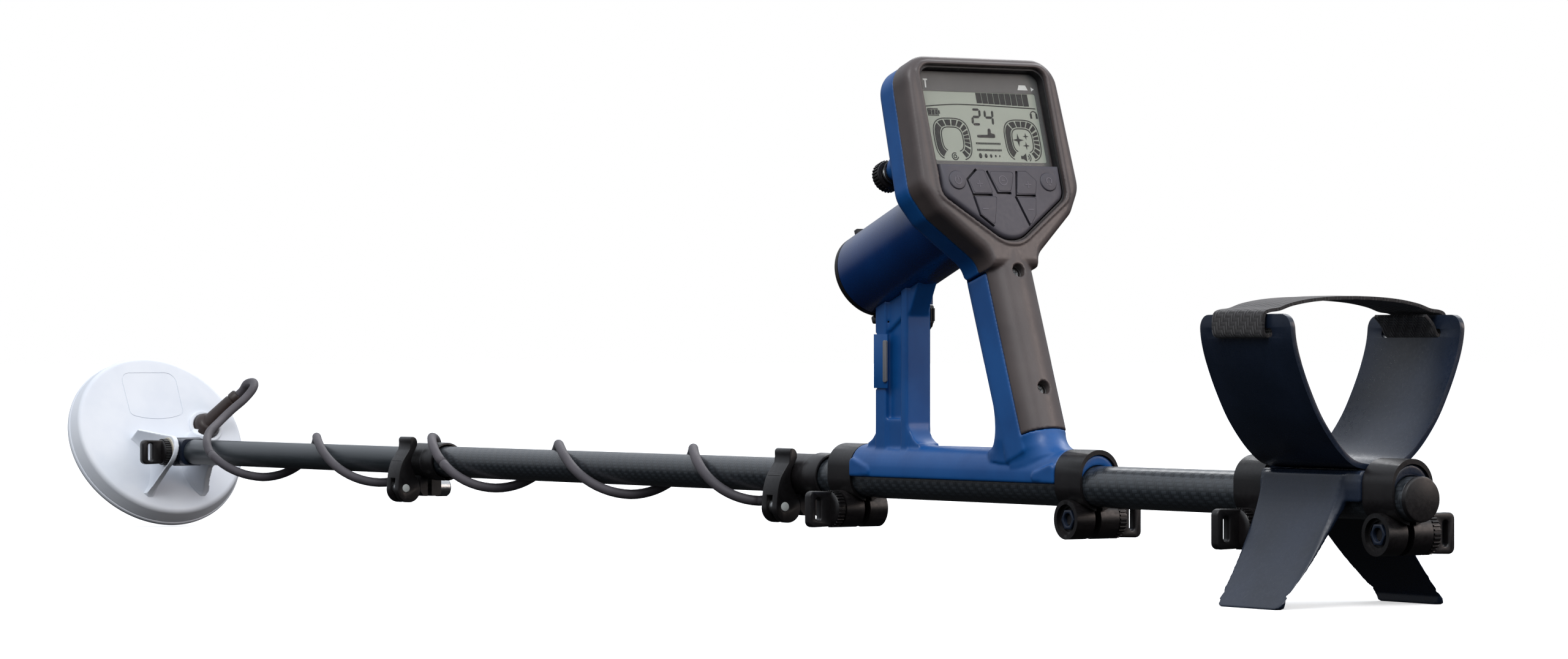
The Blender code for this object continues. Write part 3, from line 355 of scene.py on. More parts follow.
def bar(path, radius, sides=12, taper=None):
    # a round bar along a path, with rings that don't twist
    path = [Vector(p) for p in path]
    rings, normal = [], None
    for i, point in enumerate(path):
        along = (path[min(i + 1, len(path) - 1)] - path[max(i - 1, 0)]).normalized()
        if normal is None:
            normal = along.orthogonal().normalized()
        normal = (normal - along * normal.dot(along)).normalized()
        side = along.cross(normal)
        r = radius if taper is None else taper(i / (len(path) - 1)) * radius
        angles = [2 * pi * k / sides for k in range(sides)]
        rings.append([point + (normal * cos(a) + side * sin(a)) * r for a in angles])
    return skin(rings)


# Objects: a lump is worked in millimetres, and a piece is what it ends as

tools = []


def lump(bm, place=None):
    mesh = bpy.data.meshes.new("lump")
    bm.to_mesh(mesh)
    bm.free()
    if place is not None:
        mesh.transform(place)
    obj = bpy.data.objects.new("lump", mesh)
    bpy.context.scene.collection.objects.link(obj)
    return obj


def combine(obj, tool, operation):
    modifier = obj.modifiers.new(operation.title(), "BOOLEAN")
    modifier.operation = operation
    modifier.solver = "EXACT"
    modifier.object = tool
    tools.append(tool)
    return obj


def join(obj, bm, place=None):
    return combine(obj, lump(bm, place), "UNION")


def cut(obj, bm, place=None):
    return combine(obj, lump(bm, place), "DIFFERENCE")


def rounding(obj, width=0.6, segments=2, sharpest=32):
    modifier = obj.modifiers.new("rounding", "BEVEL")
    modifier.limit_method = "ANGLE"
    modifier.angle_limit = radians(sharpest)
    modifier.width = width
    modifier.segments = segments
    return obj


def softened(obj, grain=0.8, passes=4):
    # rebuilds a lump as an even skin and rounds its edges
    even = obj.modifiers.new("even", "REMESH")
    even.mode = "VOXEL"
    even.voxel_size = grain
    smooth = obj.modifiers.new("smooth", "SMOOTH")
    smooth.factor = 0.5
    smooth.iterations = passes
    return obj


def plainMesh(obj):
    graph = bpy.context.evaluated_depsgraph_get()
    mesh = bpy.data.meshes.new_from_object(obj.evaluated_get(graph), depsgraph=graph)
    bpy.data.objects.remove(obj)
    while tools:
        bpy.data.objects.remove(tools.pop())
    return mesh


def piece(name, obj, body, material, stands=(), sharp=35):
    mesh = plainMesh(obj) if isinstance(obj, bpy.types.Object) else obj
    mesh.name = name
    mesh.transform(Matrix.Scale(toMetres, 4))
    mesh.materials.clear()
    mesh.materials.append(material)
    mesh.shade_smooth()
    mesh.set_sharp_from_angle(angle=radians(sharp))
    made = bpy.data.objects.new(name, mesh)
    bpy.context.scene.collection.objects.link(made)
    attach(made, body)
    if stands:
        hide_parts(*stands)
    return made


def dress(node, material):
    # a CAD node that stays gets a better material
    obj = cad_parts[node]
    obj.data.materials.clear()
    obj.data.materials.append(material)


# Shader maths: a socket that takes part in sums


class Value:
    def __init__(self, finish, socket):
        self.finish, self.socket = finish, socket

    def sum(self, operation, *others):
        return self.finish.maths(operation, self, *others)

    def __add__(self, other):
        return self.sum("ADD", other)

    def __sub__(self, other):
        return self.sum("SUBTRACT", other)

    def __mul__(self, other):
        return self.sum("MULTIPLY", other)

    def __truediv__(self, other):
        return self.sum("DIVIDE", other)

    def __mod__(self, other):
        return self.sum("FLOORED_MODULO", other)

    def __lt__(self, other):
        return self.sum("LESS_THAN", other)

    def __gt__(self, other):
        return self.sum("GREATER_THAN", other)

    def __rsub__(self, other):
        return self.finish.maths("SUBTRACT", other, self)

    def __rtruediv__(self, other):
        return self.finish.maths("DIVIDE", other, self)

    __radd__ = __add__
    __rmul__ = __mul__

    def floor(self):
        return self.sum("FLOOR")

    def fract(self):
        return self.sum("FRACT")

    def sine(self):
        return self.sum("SINE")

    def between(self, low, high, first=0.0, last=1.0):
        sockets = {"Value": self, "From Min": low, "From Max": high, "To Min": first, "To Max": last}
        return self.finish.make(
            "ShaderNodeMapRange", {"interpolation_type": "SMOOTHSTEP"}, sockets,
        )["Result"]


class Finish:
    def __init__(self, name, constants):
        self.material = bpy.data.materials.new(name)
        self.material.use_nodes = True
        self.tree = self.material.node_tree
        self.shader = self.tree.nodes["Principled BSDF"]
        for socket, value in constants.items():
            self.shader.inputs[socket].default_value = value
        self.place = self.make("ShaderNodeTexCoord")["Object"]

    def make(self, kind, settings=None, sockets=None):
        node = self.tree.nodes.new(kind)
        for key, value in (settings or {}).items():
            setattr(node, key, value)
        for key, value in (sockets or {}).items():
            if isinstance(value, Value):
                self.tree.links.new(value.socket, node.inputs[key])
            else:
                node.inputs[key].default_value = value
        return {out.name: Value(self, out) for out in node.outputs}

    def maths(self, operation, *values):
        return self.make("ShaderNodeMath", {"operation": operation}, dict(enumerate(values)))["Value"]

    def mixed(self, factor, first, last):
        sockets = {0: factor, 6: first if isinstance(first, Value) else (*first, 1)}
        sockets[7] = last if isinstance(last, Value) else (*last, 1)
        node = self.tree.nodes.new("ShaderNodeMix")
        node.data_type = "RGBA"
        for key, value in sockets.items():
            if isinstance(value, Value):
                self.tree.links.new(value.socket, node.inputs[key])
            else:
                node.inputs[key].default_value = value
        return Value(self, node.outputs[2])

    def placed(self, middle=(0, 0, 0), scale=(1, 1, 1)):
        # Object coordinates in millimetres from a middle, also in millimetres
        location = tuple(-m * s for m, s in zip(middle, scale))
        size = tuple(s / toMetres for s in scale)
        return self.make(
            "ShaderNodeMapping", None, {"Vector": self.place, "Location": location, "Scale": size},
        )["Vector"]

    def axes(self, vector):
        parts = self.make("ShaderNodeSeparateXYZ", None, {"Vector": vector})
        return parts["X"], parts["Y"], parts["Z"]

    def noise(self, vector, scale, detail=3.0, rough=0.55):
        sockets = {"Vector": vector, "Scale": scale, "Detail": detail, "Roughness": rough}
        return self.make("ShaderNodeTexNoise", None, sockets)["Fac"]

    def cells(self, vector, scale):
        return self.make("ShaderNodeTexVoronoi", None, {"Vector": vector, "Scale": scale})["Distance"]

    def bump(self, height, strength, distance=0.1):
        sockets = {"Height": height, "Strength": strength, "Distance": distance * toMetres}
        return self.make("ShaderNodeBump", None, sockets)["Normal"]

    def end(self, **links):
        names = {
            "colour": "Base Color", "roughness": "Roughness", "normal": "Normal", "metallic": "Metallic",
            "alpha": "Alpha",
        }
        for key, value in links.items():
            self.tree.links.new(value.socket, self.shader.inputs[names[key]])
        return self.material


def fromScreen(r, g, b):
    # a colour given as 0 to 255 on a screen, as the shader's linear value
    return tuple((c / 255 / 12.92) if c < 11 else ((c / 255 + 0.055) / 1.055) ** 2.4 for c in (r, g, b))


def mouldedPlastic(name, look):
    # moulded plastic: fine spark-eroded grain, faint flow clouds, thin dust on what faces up
    finish = Finish(name, {"Coat Weight": look.get("coat", 0.0), "Coat Roughness": 0.25, "IOR": 1.5})
    where = finish.placed()
    clouds = finish.noise(where, look.get("cloud", 0.03), 3.0)
    grain = finish.noise(where, look.get("grain", 2.2), 2.0)
    spots = finish.noise(where, 0.5, 4.0, 0.65)
    dark, light = fromScreen(*look["dark"]), fromScreen(*look["light"])
    colour = finish.mixed(clouds.between(0.3, 0.7), dark, light)
    facing = finish.axes(finish.make("ShaderNodeNewGeometry")["Normal"])[2]
    dust = facing.between(0.2, 1.0) * spots.between(0.45, 0.75) * look.get("dust", 0.1)
    colour = finish.mixed(dust, colour, fromScreen(*look.get("dustColour", (150, 145, 140))))
    low, high = look["roughness"]
    rough = spots.between(0.3, 0.7, low, high) + grain * 0.04
    normal = finish.bump(grain + clouds * 0.5, look.get("bump", 0.35), look.get("depth", 0.03))
    return finish.end(colour=colour, roughness=rough, normal=normal)


def carbonWeave(name, radius, look):
    # 2/2 twill round a tube: the ply's tows cross in small bricks under a clear coat
    finish = Finish(name, {"Coat Weight": look["coat"], "Coat Roughness": 0.12, "IOR": 1.5})
    x, y, z = finish.axes(finish.placed((0, 0, axisZ)))
    around = finish.maths("ARCTAN2", y, z) / (2 * pi)
    count = 4 * round(2 * pi * radius / look["pitch"] / 4)
    u = x / look["pitch"]
    v = around * count
    over = ((u.floor() + v.floor()) % 4.0) < 1.5
    alongTow = (v.fract() * pi).sine()
    acrossTow = (u.fract() * pi).sine()
    height = over * alongTow + (1 - over) * acrossTow
    tone = over * 0.55 + (1 - over) * 0.3 + finish.noise(finish.placed(), 0.4, 2.0) * 0.3
    colour = finish.mixed(
        tone * height.between(0.0, 0.6, 0.35, 1.0), fromScreen(*look["dark"]), fromScreen(*look["light"]),
    )
    rough = over * 0.1 + look["roughness"]
    return finish.end(colour=colour, roughness=rough, normal=finish.bump(height, 0.5, 0.09))


def darkTube(name, look):
    finish = Finish(name, {"Coat Weight": 0.2, "Coat Roughness": 0.3})
    streaks = finish.noise(finish.placed((0, 0, 0), (0.05, 1, 1)), 0.9, 3.0)
    colour = finish.mixed(streaks.between(0.3, 0.7), fromScreen(*look["dark"]), fromScreen(*look["light"]))
    rough = streaks.between(0.2, 0.8, look["roughness"] - 0.06, look["roughness"] + 0.08)
    return finish.end(colour=colour, roughness=rough, normal=finish.bump(streaks, 0.25, 0.05))


def brushedSteel(name, look):
    finish = Finish(name, {"Metallic": 1.0})
    lines = finish.noise(finish.placed((0, 0, 0), (1, 0.06, 1)), 5.0, 2.0)
    spots = finish.noise(finish.placed(), 0.7, 3.0)
    colour = finish.mixed(spots, fromScreen(*look["dark"]), fromScreen(*look["light"]))
    rough = lines.between(0.3, 0.7, look["roughness"] - 0.08, look["roughness"] + 0.1)
    return finish.end(colour=colour, roughness=rough, normal=finish.bump(lines, 0.15, 0.03))


def windowGlass(name, look):
    finish = Finish(name, {"Roughness": 0.05, "IOR": 1.45})
    smears = finish.noise(finish.placed(), 0.08, 3.0)
    colour = finish.mixed(smears, fromScreen(60, 64, 66), fromScreen(96, 100, 102))
    return finish.end(colour=colour, alpha=smears.between(0.3, 0.7, look["low"], look["high"]))


def screenFace(name, look):
    # the display's face: grey-green, with the faint grid of its cells
    finish = Finish(name, {"Roughness": 0.35})
    across, up = finish.axes(finish.placed())[1:]
    grid = (across.fract() > 0.9) + (up.fract() > 0.9)
    clouds = finish.noise(finish.placed(), 0.04, 2.0)
    colour = finish.mixed(clouds, fromScreen(*look["dark"]), fromScreen(*look["light"]))
    return finish.end(colour=finish.mixed(grid * 0.05, colour, fromScreen(90, 98, 88)))


def inkAndPaintedLight(name, colour, rough=0.5):
    # a flat mottled colour: used for print, and also for painted light (painted shade on the groove floors,
    # painted brightness on the lever pins)
    finish = Finish(name, {})
    mottle = finish.noise(finish.placed(), 1.2, 2.0)
    base = fromScreen(*colour)
    lighter = tuple(c * 1.25 + 0.002 for c in base)
    return finish.end(
        colour=finish.mixed(mottle, base, lighter),
        roughness=mottle.between(0.2, 0.8, rough - 0.05, rough + 0.05),
    )


def wovenBand(name, look):
    # coarse webbing, woven on the bias; it follows the band's own map, in millimetres
    finish = Finish(name, {"Sheen Weight": 0.35, "Sheen Roughness": 0.5})
    across, along, _ = finish.axes(finish.make("ShaderNodeUVMap", {"uv_map": "cloth"})["UV"])
    u, v = across / look["pitch"], along / look["pitch"]
    step = (u.floor() + v.floor()) % 4.0
    warp = step < 1.5
    rib = warp * (u.fract() * pi).sine() + (1 - warp) * (v.fract() * pi).sine()
    fuzz = finish.noise(finish.placed(), 3.0, 3.0)
    colour = finish.mixed(rib * 0.6 + fuzz * 0.4, fromScreen(*look["dark"]), fromScreen(*look["light"]))
    rough = fuzz.between(0.2, 0.8, 0.75, 0.95)
    return finish.end(colour=colour, roughness=rough, normal=finish.bump(rib + fuzz * 0.4, 0.8, 0.25))


def rubberSheath(name, look):
    finish = Finish(name, {"Sheen Weight": 0.05})
    where = finish.placed()
    clouds, grain = finish.noise(where, 0.05, 3.0), finish.noise(where, 2.6, 2.0)
    colour = finish.mixed(clouds.between(0.3, 0.7), fromScreen(*look["dark"]), fromScreen(*look["light"]))
    return finish.end(
        colour=colour, roughness=grain.between(0.2, 0.8, 0.5, 0.66), normal=finish.bump(grain, 0.3, 0.05),
    )


def printedBoard(name):
    finish = Finish(name, {"Roughness": 0.4, "Coat Weight": 0.4})
    where = finish.placed()
    tracks = finish.cells(where, 0.22).between(0.42, 0.46)
    return finish.end(colour=finish.mixed(tracks, fromScreen(22, 88, 48), fromScreen(60, 140, 84)))


def woundCopper(name):
    finish = Finish(name, {"Metallic": 1.0})
    x, _, z = finish.axes(finish.placed())
    turns = ((z * 0.87 + x * 0.49) * 8.0).sine()
    colour = finish.mixed(turns.between(-1, 1), fromScreen(120, 62, 34), fromScreen(200, 120, 74))
    return finish.end(
        colour=colour, roughness=turns.between(-1, 1, 0.5, 0.3), normal=finish.bump(turns, 0.6, 0.1),
    )


finishes = {
    "coilWhite": {
        "dark": (232, 236, 243), "light": (240, 243, 248), "roughness": (0.36, 0.44), "bump": 0.12,
        "dust": 0.0,
    },
    "blue": {
        "dark": (12, 76, 140), "light": (20, 88, 156), "roughness": (0.3, 0.4), "bump": 0.18, "dust": 0.03,
    },
    "navy": {
        "dark": (6, 46, 100), "light": (8, 54, 112), "roughness": (0.2, 0.26), "bump": 0.02, "coat": 0.6,
        "dust": 0.0,
    },
    "grey": {
        "dark": (78, 70, 69), "light": (90, 81, 79), "roughness": (0.3, 0.4), "bump": 0.2, "dust": 0.05,
    },
    "keys": {
        "dark": (70, 68, 76), "light": (78, 76, 84), "roughness": (0.42, 0.52), "bump": 0.2, "dust": 0.03,
    },
    "black": {
        "dark": (17, 15, 16), "light": (27, 24, 25), "roughness": (0.3, 0.42), "bump": 0.18, "dust": 0.05,
    },
    "brownBlack": {
        "dark": (38, 28, 26), "light": (52, 40, 36), "roughness": (0.34, 0.46), "bump": 0.3, "dust": 0.06,
    },
    "cuff": {
        "dark": (23, 32, 47), "light": (31, 41, 59), "roughness": (0.24, 0.34), "bump": 0.16, "dust": 0.03,
    },
    "cream": {
        "dark": (214, 206, 186), "light": (228, 220, 202), "roughness": (0.4, 0.5), "bump": 0.2,
        "dust": 0.0,
    },
    "pullGrey": {
        "dark": (112, 112, 116), "light": (128, 128, 132), "roughness": (0.4, 0.5), "bump": 0.3,
        "dust": 0.0,
    },
    # painted shade: a dark tone for the walls of the cover's face opening, where shade falls
    "recess": {
        "dark": (30, 29, 31), "light": (38, 37, 39), "roughness": (0.4, 0.5), "bump": 0.2, "dust": 0.0,
    },
}
look = {name: mouldedPlastic(name, values) for name, values in finishes.items()}
look["carbonUpper"] = carbonWeave(
    "carbonUpper", 11.1,
    {"pitch": 2.1, "dark": (8, 9, 10), "light": (66, 72, 78), "roughness": 0.28, "coat": 0.35},
)
look["carbonMiddle"] = carbonWeave(
    "carbonMiddle", 10.0,
    {"pitch": 2.0, "dark": (8, 9, 10), "light": (62, 68, 74), "roughness": 0.28, "coat": 0.35},
)
look["darkTube"] = darkTube("darkTube", {"dark": (46, 52, 56), "light": (58, 64, 68), "roughness": 0.36})
look["steel"] = brushedSteel("steel", {"dark": (170, 172, 172), "light": (205, 206, 206), "roughness": 0.3})
look["glass"] = windowGlass("glass", {"low": 0.02, "high": 0.04})
look["screen"] = screenFace("screen", {"dark": (158, 166, 152), "light": (168, 175, 162)})
look["surround"] = inkAndPaintedLight("surround", (88, 88, 86), 0.4)
look["ink"] = inkAndPaintedLight("ink", (28, 30, 28), 0.5)
look["sign"] = inkAndPaintedLight("sign", (94, 91, 100), 0.45)
look["printed"] = inkAndPaintedLight("printed", (214, 216, 212), 0.5)
# painted reflection: a pale colour that makes the steel pins' ends read bright without being metal
look["pinPaintedShine"] = inkAndPaintedLight("pinPaintedShine", (196, 200, 196), 0.35)
# painted shade: a near-black tone for the floors of the keypad's grooves, standing in for the shade deep in
# them
look["groove"] = inkAndPaintedLight("groove", (36, 34, 38), 0.6)
look["webbing"] = wovenBand("webbing", {"pitch": 1.9, "dark": (14, 11, 12), "light": (34, 28, 29)})
look["lead"] = rubberSheath("lead", {"dark": (66, 62, 67), "light": (80, 75, 80)})
look["board"] = printedBoard("board")
look["copper"] = woundCopper("copper")
print("materials made")

# Geometry Nodes for what repeats


def newTree(name, inputs):
    tree = bpy.data.node_groups.new(name, "GeometryNodeTree")
    tree.interface.new_socket("Geometry", in_out="OUTPUT", socket_type="NodeSocketGeometry")
    sockets = {}
    for label, kind in inputs:
        sockets[label] = tree.interface.new_socket(label, in_out="INPUT", socket_type=kind).identifier
    start, end = tree.nodes.new("NodeGroupInput"), tree.nodes.new("NodeGroupOutput")
    return tree, sockets, start, end


def node(tree, kind, settings=None, **links):
    made = tree.nodes.new(kind)
    for key, value in (settings or {}).items():
        setattr(made, key, value)
    for key, value in links.items():
        socket = made.inputs[int(key[1:])] if key[0] == "n" and key[1:].isdigit() else made.inputs[key.replace("_", " ")]
        if hasattr(value, "is_output"):
            tree.links.new(value, socket)
        else:
            socket.default_value = value
    return made


def toothTree():
    # teeth that stand round a circle in the XY plane
    inputs = [
        ("Count", "NodeSocketInt"), ("Radius", "NodeSocketFloat"), ("Tooth", "NodeSocketVector"),
        ("Finish", "NodeSocketMaterial"),
    ]
    tree, sockets, start, end = newTree("toothRing", inputs)
    index = node(tree, "GeometryNodeInputIndex")
    part = node(
        tree, "ShaderNodeMath", {"operation": "DIVIDE"}, n0=index.outputs[0], n1=start.outputs["Count"],
    )
    angle = node(tree, "ShaderNodeMath", {"operation": "MULTIPLY"}, n0=part.outputs[0], n1=2 * pi)
    c = node(tree, "ShaderNodeMath", {"operation": "COSINE"}, n0=angle.outputs[0])
    s = node(tree, "ShaderNodeMath", {"operation": "SINE"}, n0=angle.outputs[0])
    x = node(tree, "ShaderNodeMath", {"operation": "MULTIPLY"}, n0=c.outputs[0], n1=start.outputs["Radius"])
    y = node(tree, "ShaderNodeMath", {"operation": "MULTIPLY"}, n0=s.outputs[0], n1=start.outputs["Radius"])
    place = node(tree, "ShaderNodeCombineXYZ", None, X=x.outputs[0], Y=y.outputs[0])
    points = node(tree, "GeometryNodePoints", None, Count=start.outputs["Count"], Position=place.outputs[0])
    tooth = node(tree, "GeometryNodeMeshCube", None, Size=start.outputs["Tooth"])
    turn = node(tree, "ShaderNodeCombineXYZ", None, Z=angle.outputs[0])
    spread = node(
        tree, "GeometryNodeInstanceOnPoints", None, Points=points.outputs[0], Instance=tooth.outputs[0],
        Rotation=turn.outputs[0],
    )
    real = node(tree, "GeometryNodeRealizeInstances", None, Geometry=spread.outputs[0])
    dressed = node(
        tree, "GeometryNodeSetMaterial", None, Geometry=real.outputs[0], Material=start.outputs["Finish"],
    )
    tree.links.new(dressed.outputs[0], end.inputs[0])
    return tree, sockets


def rowTree():
    # bars in a row, each a step on from the last
    inputs = [
        ("Count", "NodeSocketInt"), ("Step", "NodeSocketVector"), ("Bar", "NodeSocketVector"),
        ("Finish", "NodeSocketMaterial"),
    ]
    tree, sockets, start, end = newTree("barRow", inputs)
    line = node(
        tree, "GeometryNodeMeshLine", None, Count=start.outputs["Count"], Offset=start.outputs["Step"],
    )
    one = node(tree, "GeometryNodeMeshCube", None, Size=start.outputs["Bar"])
    spread = node(
        tree, "GeometryNodeInstanceOnPoints", None, Points=line.outputs[0], Instance=one.outputs[0],
    )
    real = node(tree, "GeometryNodeRealizeInstances", None, Geometry=spread.outputs[0])
    dressed = node(
        tree, "GeometryNodeSetMaterial", None, Geometry=real.outputs[0], Material=start.outputs["Finish"],
    )
    tree.links.new(dressed.outputs[0], end.inputs[0])
    return tree, sockets


trees = {"teeth": toothTree(), "row": rowTree()}


def grown(kind, values, place=None, chamfer=0.12):
    # runs one of the trees and gives its result as a plain mesh
    tree, sockets = trees[kind]
    mesh = bpy.data.meshes.new("grown")
    obj = bpy.data.objects.new("grown", mesh)
    modifier = obj.modifiers.new("grown", "NODES")
    modifier.node_group = tree
    for label, value in values.items():
        modifier[sockets[label]] = value
    bpy.context.scene.collection.objects.link(obj)
    if chamfer:
        soft = obj.modifiers.new("soft", "BEVEL")
        soft.width = chamfer
        soft.segments = 1
    made = plainMesh(obj)
    if place is not None:
        made.transform(place)
    return made


def turnTo(place, towards):
    return place @ Vector(towards).to_track_quat("Z", "Y").to_matrix().to_4x4()


# The search coil

searchCoil = {
    "radius": 67.0,
    "depth": 17.1,
    "lip": -11.5,
    "middle": (-30.7, 0, -30.0),
    "sides": 176,
    "glandSeat": (-5.3, 36.3),
    "glandAim": (-0.38, 0.56, 0.74),
    "glandLong": 31.5,
    "earBend": 36.2,
    "earThick": 3.6,
}


def makeCoil():
    c = searchCoil
    middle = coil @ Matrix.Translation(c["middle"])
    lip, bottom, r = c["lip"], -c["depth"], c["radius"]
    outer = [(0, 0)] + arc((60.4, -3.9), 3.9, 90, 12, 7) + [(66.1, lip + 0.5), (65.9, lip)]
    inner = [(62.5, lip), (61.5, -3.2), (0, -3.2)]
    dish = lump(turned(outer + inner, c["sides"]), middle)
    label = rounded([(-51, -22, 8), (-16, -21.5, 5), (-9.5, 0, 60), (-16, 21.5, 5), (-51, 22, 8)], 12)
    inset = rounded([
        (-50.3, -21.3, 7.3), (-16.4, -20.8, 4.4), (-10.2, 0, 60), (-16.4, 20.8, 4.4), (-50.3, 21.3, 7.3),
    ], 12)
    cut(dish, frameOf(label, inset, -0.5, 2), middle)
    piece("coilCover", dish, "coil", look["coilWhite"], ["coil_cover"])
    rim = [
        (0, bottom), (r - 3.6, bottom), (r - 1.4, bottom + 0.7), (r - 0.3, bottom + 2), (r, bottom + 3.2),
        (r, lip - 1.2),
        (r - 0.5, lip - 0.4), (r - 1.2, lip - 0.2), (60, lip - 0.2), (60, bottom + 2.4), (0, bottom + 2.4),
    ]
    base = lump(turned(rim, c["sides"]), middle)
    cut(base, turned(ringProfile(40, 41.2, bottom - 1, bottom + 0.6), 96), middle)
    piece("coilBase", base, "coil", look["coilWhite"], ["coil_base"])
    dress("coil_winding", look["copper"])
    for hand, name in ((-1, "earNear"), (1, "earFar")):
        piece(name, makeEar(hand), "coil", look["coilWhite"])
    makeGland(middle)


def makeEar(hand):
    # a curved fin that rises round one end of the yoke bolt, with a small flare at its foot
    bend, thick = searchCoil["earBend"], searchCoil["earThick"]
    middle = (searchCoil["middle"][0] + 26.0, hand * (10.9 + bend))
    facing = -90 * hand
    levels = [(-31.5, 2.0), (-29.6, 1.7), (-28.4, 0.8), (-26.5, 0.2), (-24, 0), (12, 0)]
    rings = []
    for height, flare in levels:
        near = arc(middle, bend + flare, facing - 46, facing + 46, 20)
        far = arc(middle, bend - thick - flare, facing + 46, facing - 46, 20)
        rings.append([(x, y, height) for x, y in near + far])
    ear = lump(skin(rings), coil)
    foot = -32.0
    crest = arc((0, 0), 12.2, 130, -10, 14)
    outline = [
        (-39.5, foot), (-37.5, -28.5), (-30, -21), (-22, -11), (-14, 0),
    ] + crest + [(15, -14), (19.5, -27), (21.5, foot)]
    combine(ear, lump(sideView(outline, -60, 60), coil), "INTERSECT")
    join(ear, alongY(discProfile(7.6, *sorted((hand * 10.7, hand * 15.4))), 48), coil)
    cut(ear, alongY(discProfile(10.4, *sorted((hand * 14.8, hand * 40))), 48), coil)
    cut(ear, alongY(discProfile(3.3, -40, 40), 32), coil)
    return softened(ear, 0.55, 4)


def makeGland(middle):
    c = searchCoil
    seat = middle @ Matrix.Translation((*c["glandSeat"], 0))
    collar = [(9.9, -0.6), (12.9, -0.6), (12.9, 1.1), (12.3, 1.8), (11.4, 2.0), (10.3, 1.8), (9.9, 1.2)]
    piece("glandSeat", lump(turned(collar, 96), seat), "coil", look["coilWhite"])
    dome = [(0, 0.3), (9.5, 0.3), (9.5, 2.4)] + arc((2.6, 2.4), 6.8, 6, 82, 8) + [(0, 9.2)]
    dome = lump(turned([(r, min(h, 8.5)) for r, h in dome], 72), seat)
    long = c["glandLong"]
    sleeve = [
        (0, 0), (6.1, 0), (5.8, 9), (5.45, 18), (5.25, 24.4), (4.7, 24.9), (4.7, 25.8), (5.2, 26.3),
        (5.0, long - 1),
        (4.4, long - 0.1), (3.4, long), (0, long),
    ]
    join(dome, aimed(turned(sleeve, 48), c["glandAim"], (0, 0, 4.0)), seat)
    piece("coilGland", dome, "coil", look["brownBlack"], ["coil_gland"])


makeCoil()
print("coil made")

# The yoke and the paddle knobs

paddle = {"nut": 5.6, "thick": 5.4, "slotReach": 6.2, "slotHalf": 4.6, "slotR": 1.7, "teeth": 30}


def makeYoke():
    pivot = Matrix.Translation(onShaft(1366.0))
    tubeEnd = 13.0  # from the bolt back to the lower tube's end
    insert = lump(alongY(discProfile(10.2, -10.4, 10.4, 0.8), 56), pivot)
    corner = rounded([(-10.0, -9.2, 4), (10.0, -9.2, 4), (10.0, 9.2, 4), (-10.0, 9.2, 4)], 6)
    join(insert, section(corner, 1.0, tubeEnd - 0.4), pivot)
    join(insert, alongX([
        (0, tubeEnd - 2), (7.6, tubeEnd - 2), (7.6, tubeEnd + 34), (0, tubeEnd + 34),
    ], 48), pivot)
    cut(insert, alongY(discProfile(3.3, -20, 20), 32), pivot)
    piece("yokeInsert", rounding(insert, 0.7), "lower", look["cuff"], ["yoke_insert"])
    for hand, name in ((-1, "washerNear"), (1, "washerFar")):
        low, high = sorted((hand * 14.75, hand * 15.35))
        ring = alongY(ringProfile(3.4, 10.3, low, high, 0.15), 56)
        piece(name, lump(ring, pivot), "coil", look["cream"])
    head = [
        (0, -20.8), (3.0, -20.8), (3.0, 15.5), (5.6, 15.5), (5.6, 20.0), (5.0, 20.6), (2.9, 20.6),
        (2.9, 18.8), (0, 18.8),
    ]
    piece("yokeBolt", lump(alongY(head, 48), pivot), "coil", look["steel"], ["yoke_bolt"])
    makeKnob("yokeKnob", "yoke_knob", onShaft(1366.0), -1, 15.35, 9.4, 8.8, 17.0)


def makeKnob(name, node, at, hand, start, discR, halfTall, long, stud=None):
    # a serrated nut with an upright paddle that has a slot through it
    p = paddle
    place = Matrix.Translation(at)
    nut = p["nut"]
    core = discR - 0.7
    profile = [
        (0, start), (core - 0.6, start), (core, start + 0.5), (core, start + nut - 0.9),
        (core - 0.5, start + nut - 0.3),
        (core - 2.4, start + nut + 0.3), (core - 3.2, start + nut + 0.4), (0, start + nut + 0.4),
    ]
    knob = lump(aimed(turned(profile, 60), (0, hand, 0)), place)
    far = start + nut + long - 2
    corners = [(start + 2, -halfTall + 1.6, 0), (start + nut, -halfTall + 0.4, 3), (far, -halfTall, 3.4)]
    outline = rounded(corners + [(y, -z, r) for y, z, r in reversed(corners)], 7)
    half = p["thick"] / 2
    blade = lump(section([(hand * y, z) for y, z in outline], -half, half), place)
    reach = far - p["slotReach"]
    slot = arc((reach, p["slotHalf"]), p["slotR"], 0, 180, 10) + arc(
        (reach, -p["slotHalf"]), p["slotR"], 180, 360, 10,
    )
    cut(blade, section([(hand * y, z) for y, z in slot], -6, 6), place)
    rounding(blade, 1.0, 3)
    bladeMesh = plainMesh(blade)
    if stud:
        join(knob, aimed(turned(discProfile(2.7, *stud), 32), (0, hand, 0)), place)
    else:
        cut(knob, aimed(turned(discProfile(3.3, 0, start + nut + 1), 32), (0, hand, 0)), place)
    knobMesh = plainMesh(knob)
    tooth = (1.6, 0.95, nut - 1.4)
    values = {"Count": p["teeth"], "Radius": core - 0.1, "Tooth": tooth, "Finish": look["black"]}
    toothPlace = turnTo(place, (0, hand, 0)) @ Matrix.Translation((0, 0, start + nut / 2 - 0.1))
    teeth = grown("teeth", values, toothPlace)
    return piece(name, merged([knobMesh, bladeMesh, teeth]), node, look["black"], [node])


def merged(meshes):
    bm = bmesh.new()
    for mesh in meshes:
        bm.from_mesh(mesh)
    whole = bpy.data.meshes.new("merged")
    bm.to_mesh(whole)
    bm.free()
    return whole


makeYoke()

# The shaft's tubes

tubes = {
    "upper": {
        "radius": 11.1, "ends": (2.8, 556.0), "body": "shaft", "finish": "carbonUpper", "slot": "carbon",
    },
    "middle": {
        "radius": 10.0, "ends": (500.0, 1014.0), "body": "middle", "finish": "carbonMiddle",
        "slot": "carbon",
    },
    "lower": {
        "radius": 8.9, "ends": (955.0, 1353.0), "body": "lower", "finish": "darkTube", "slot": "dark_tube",
    },
}


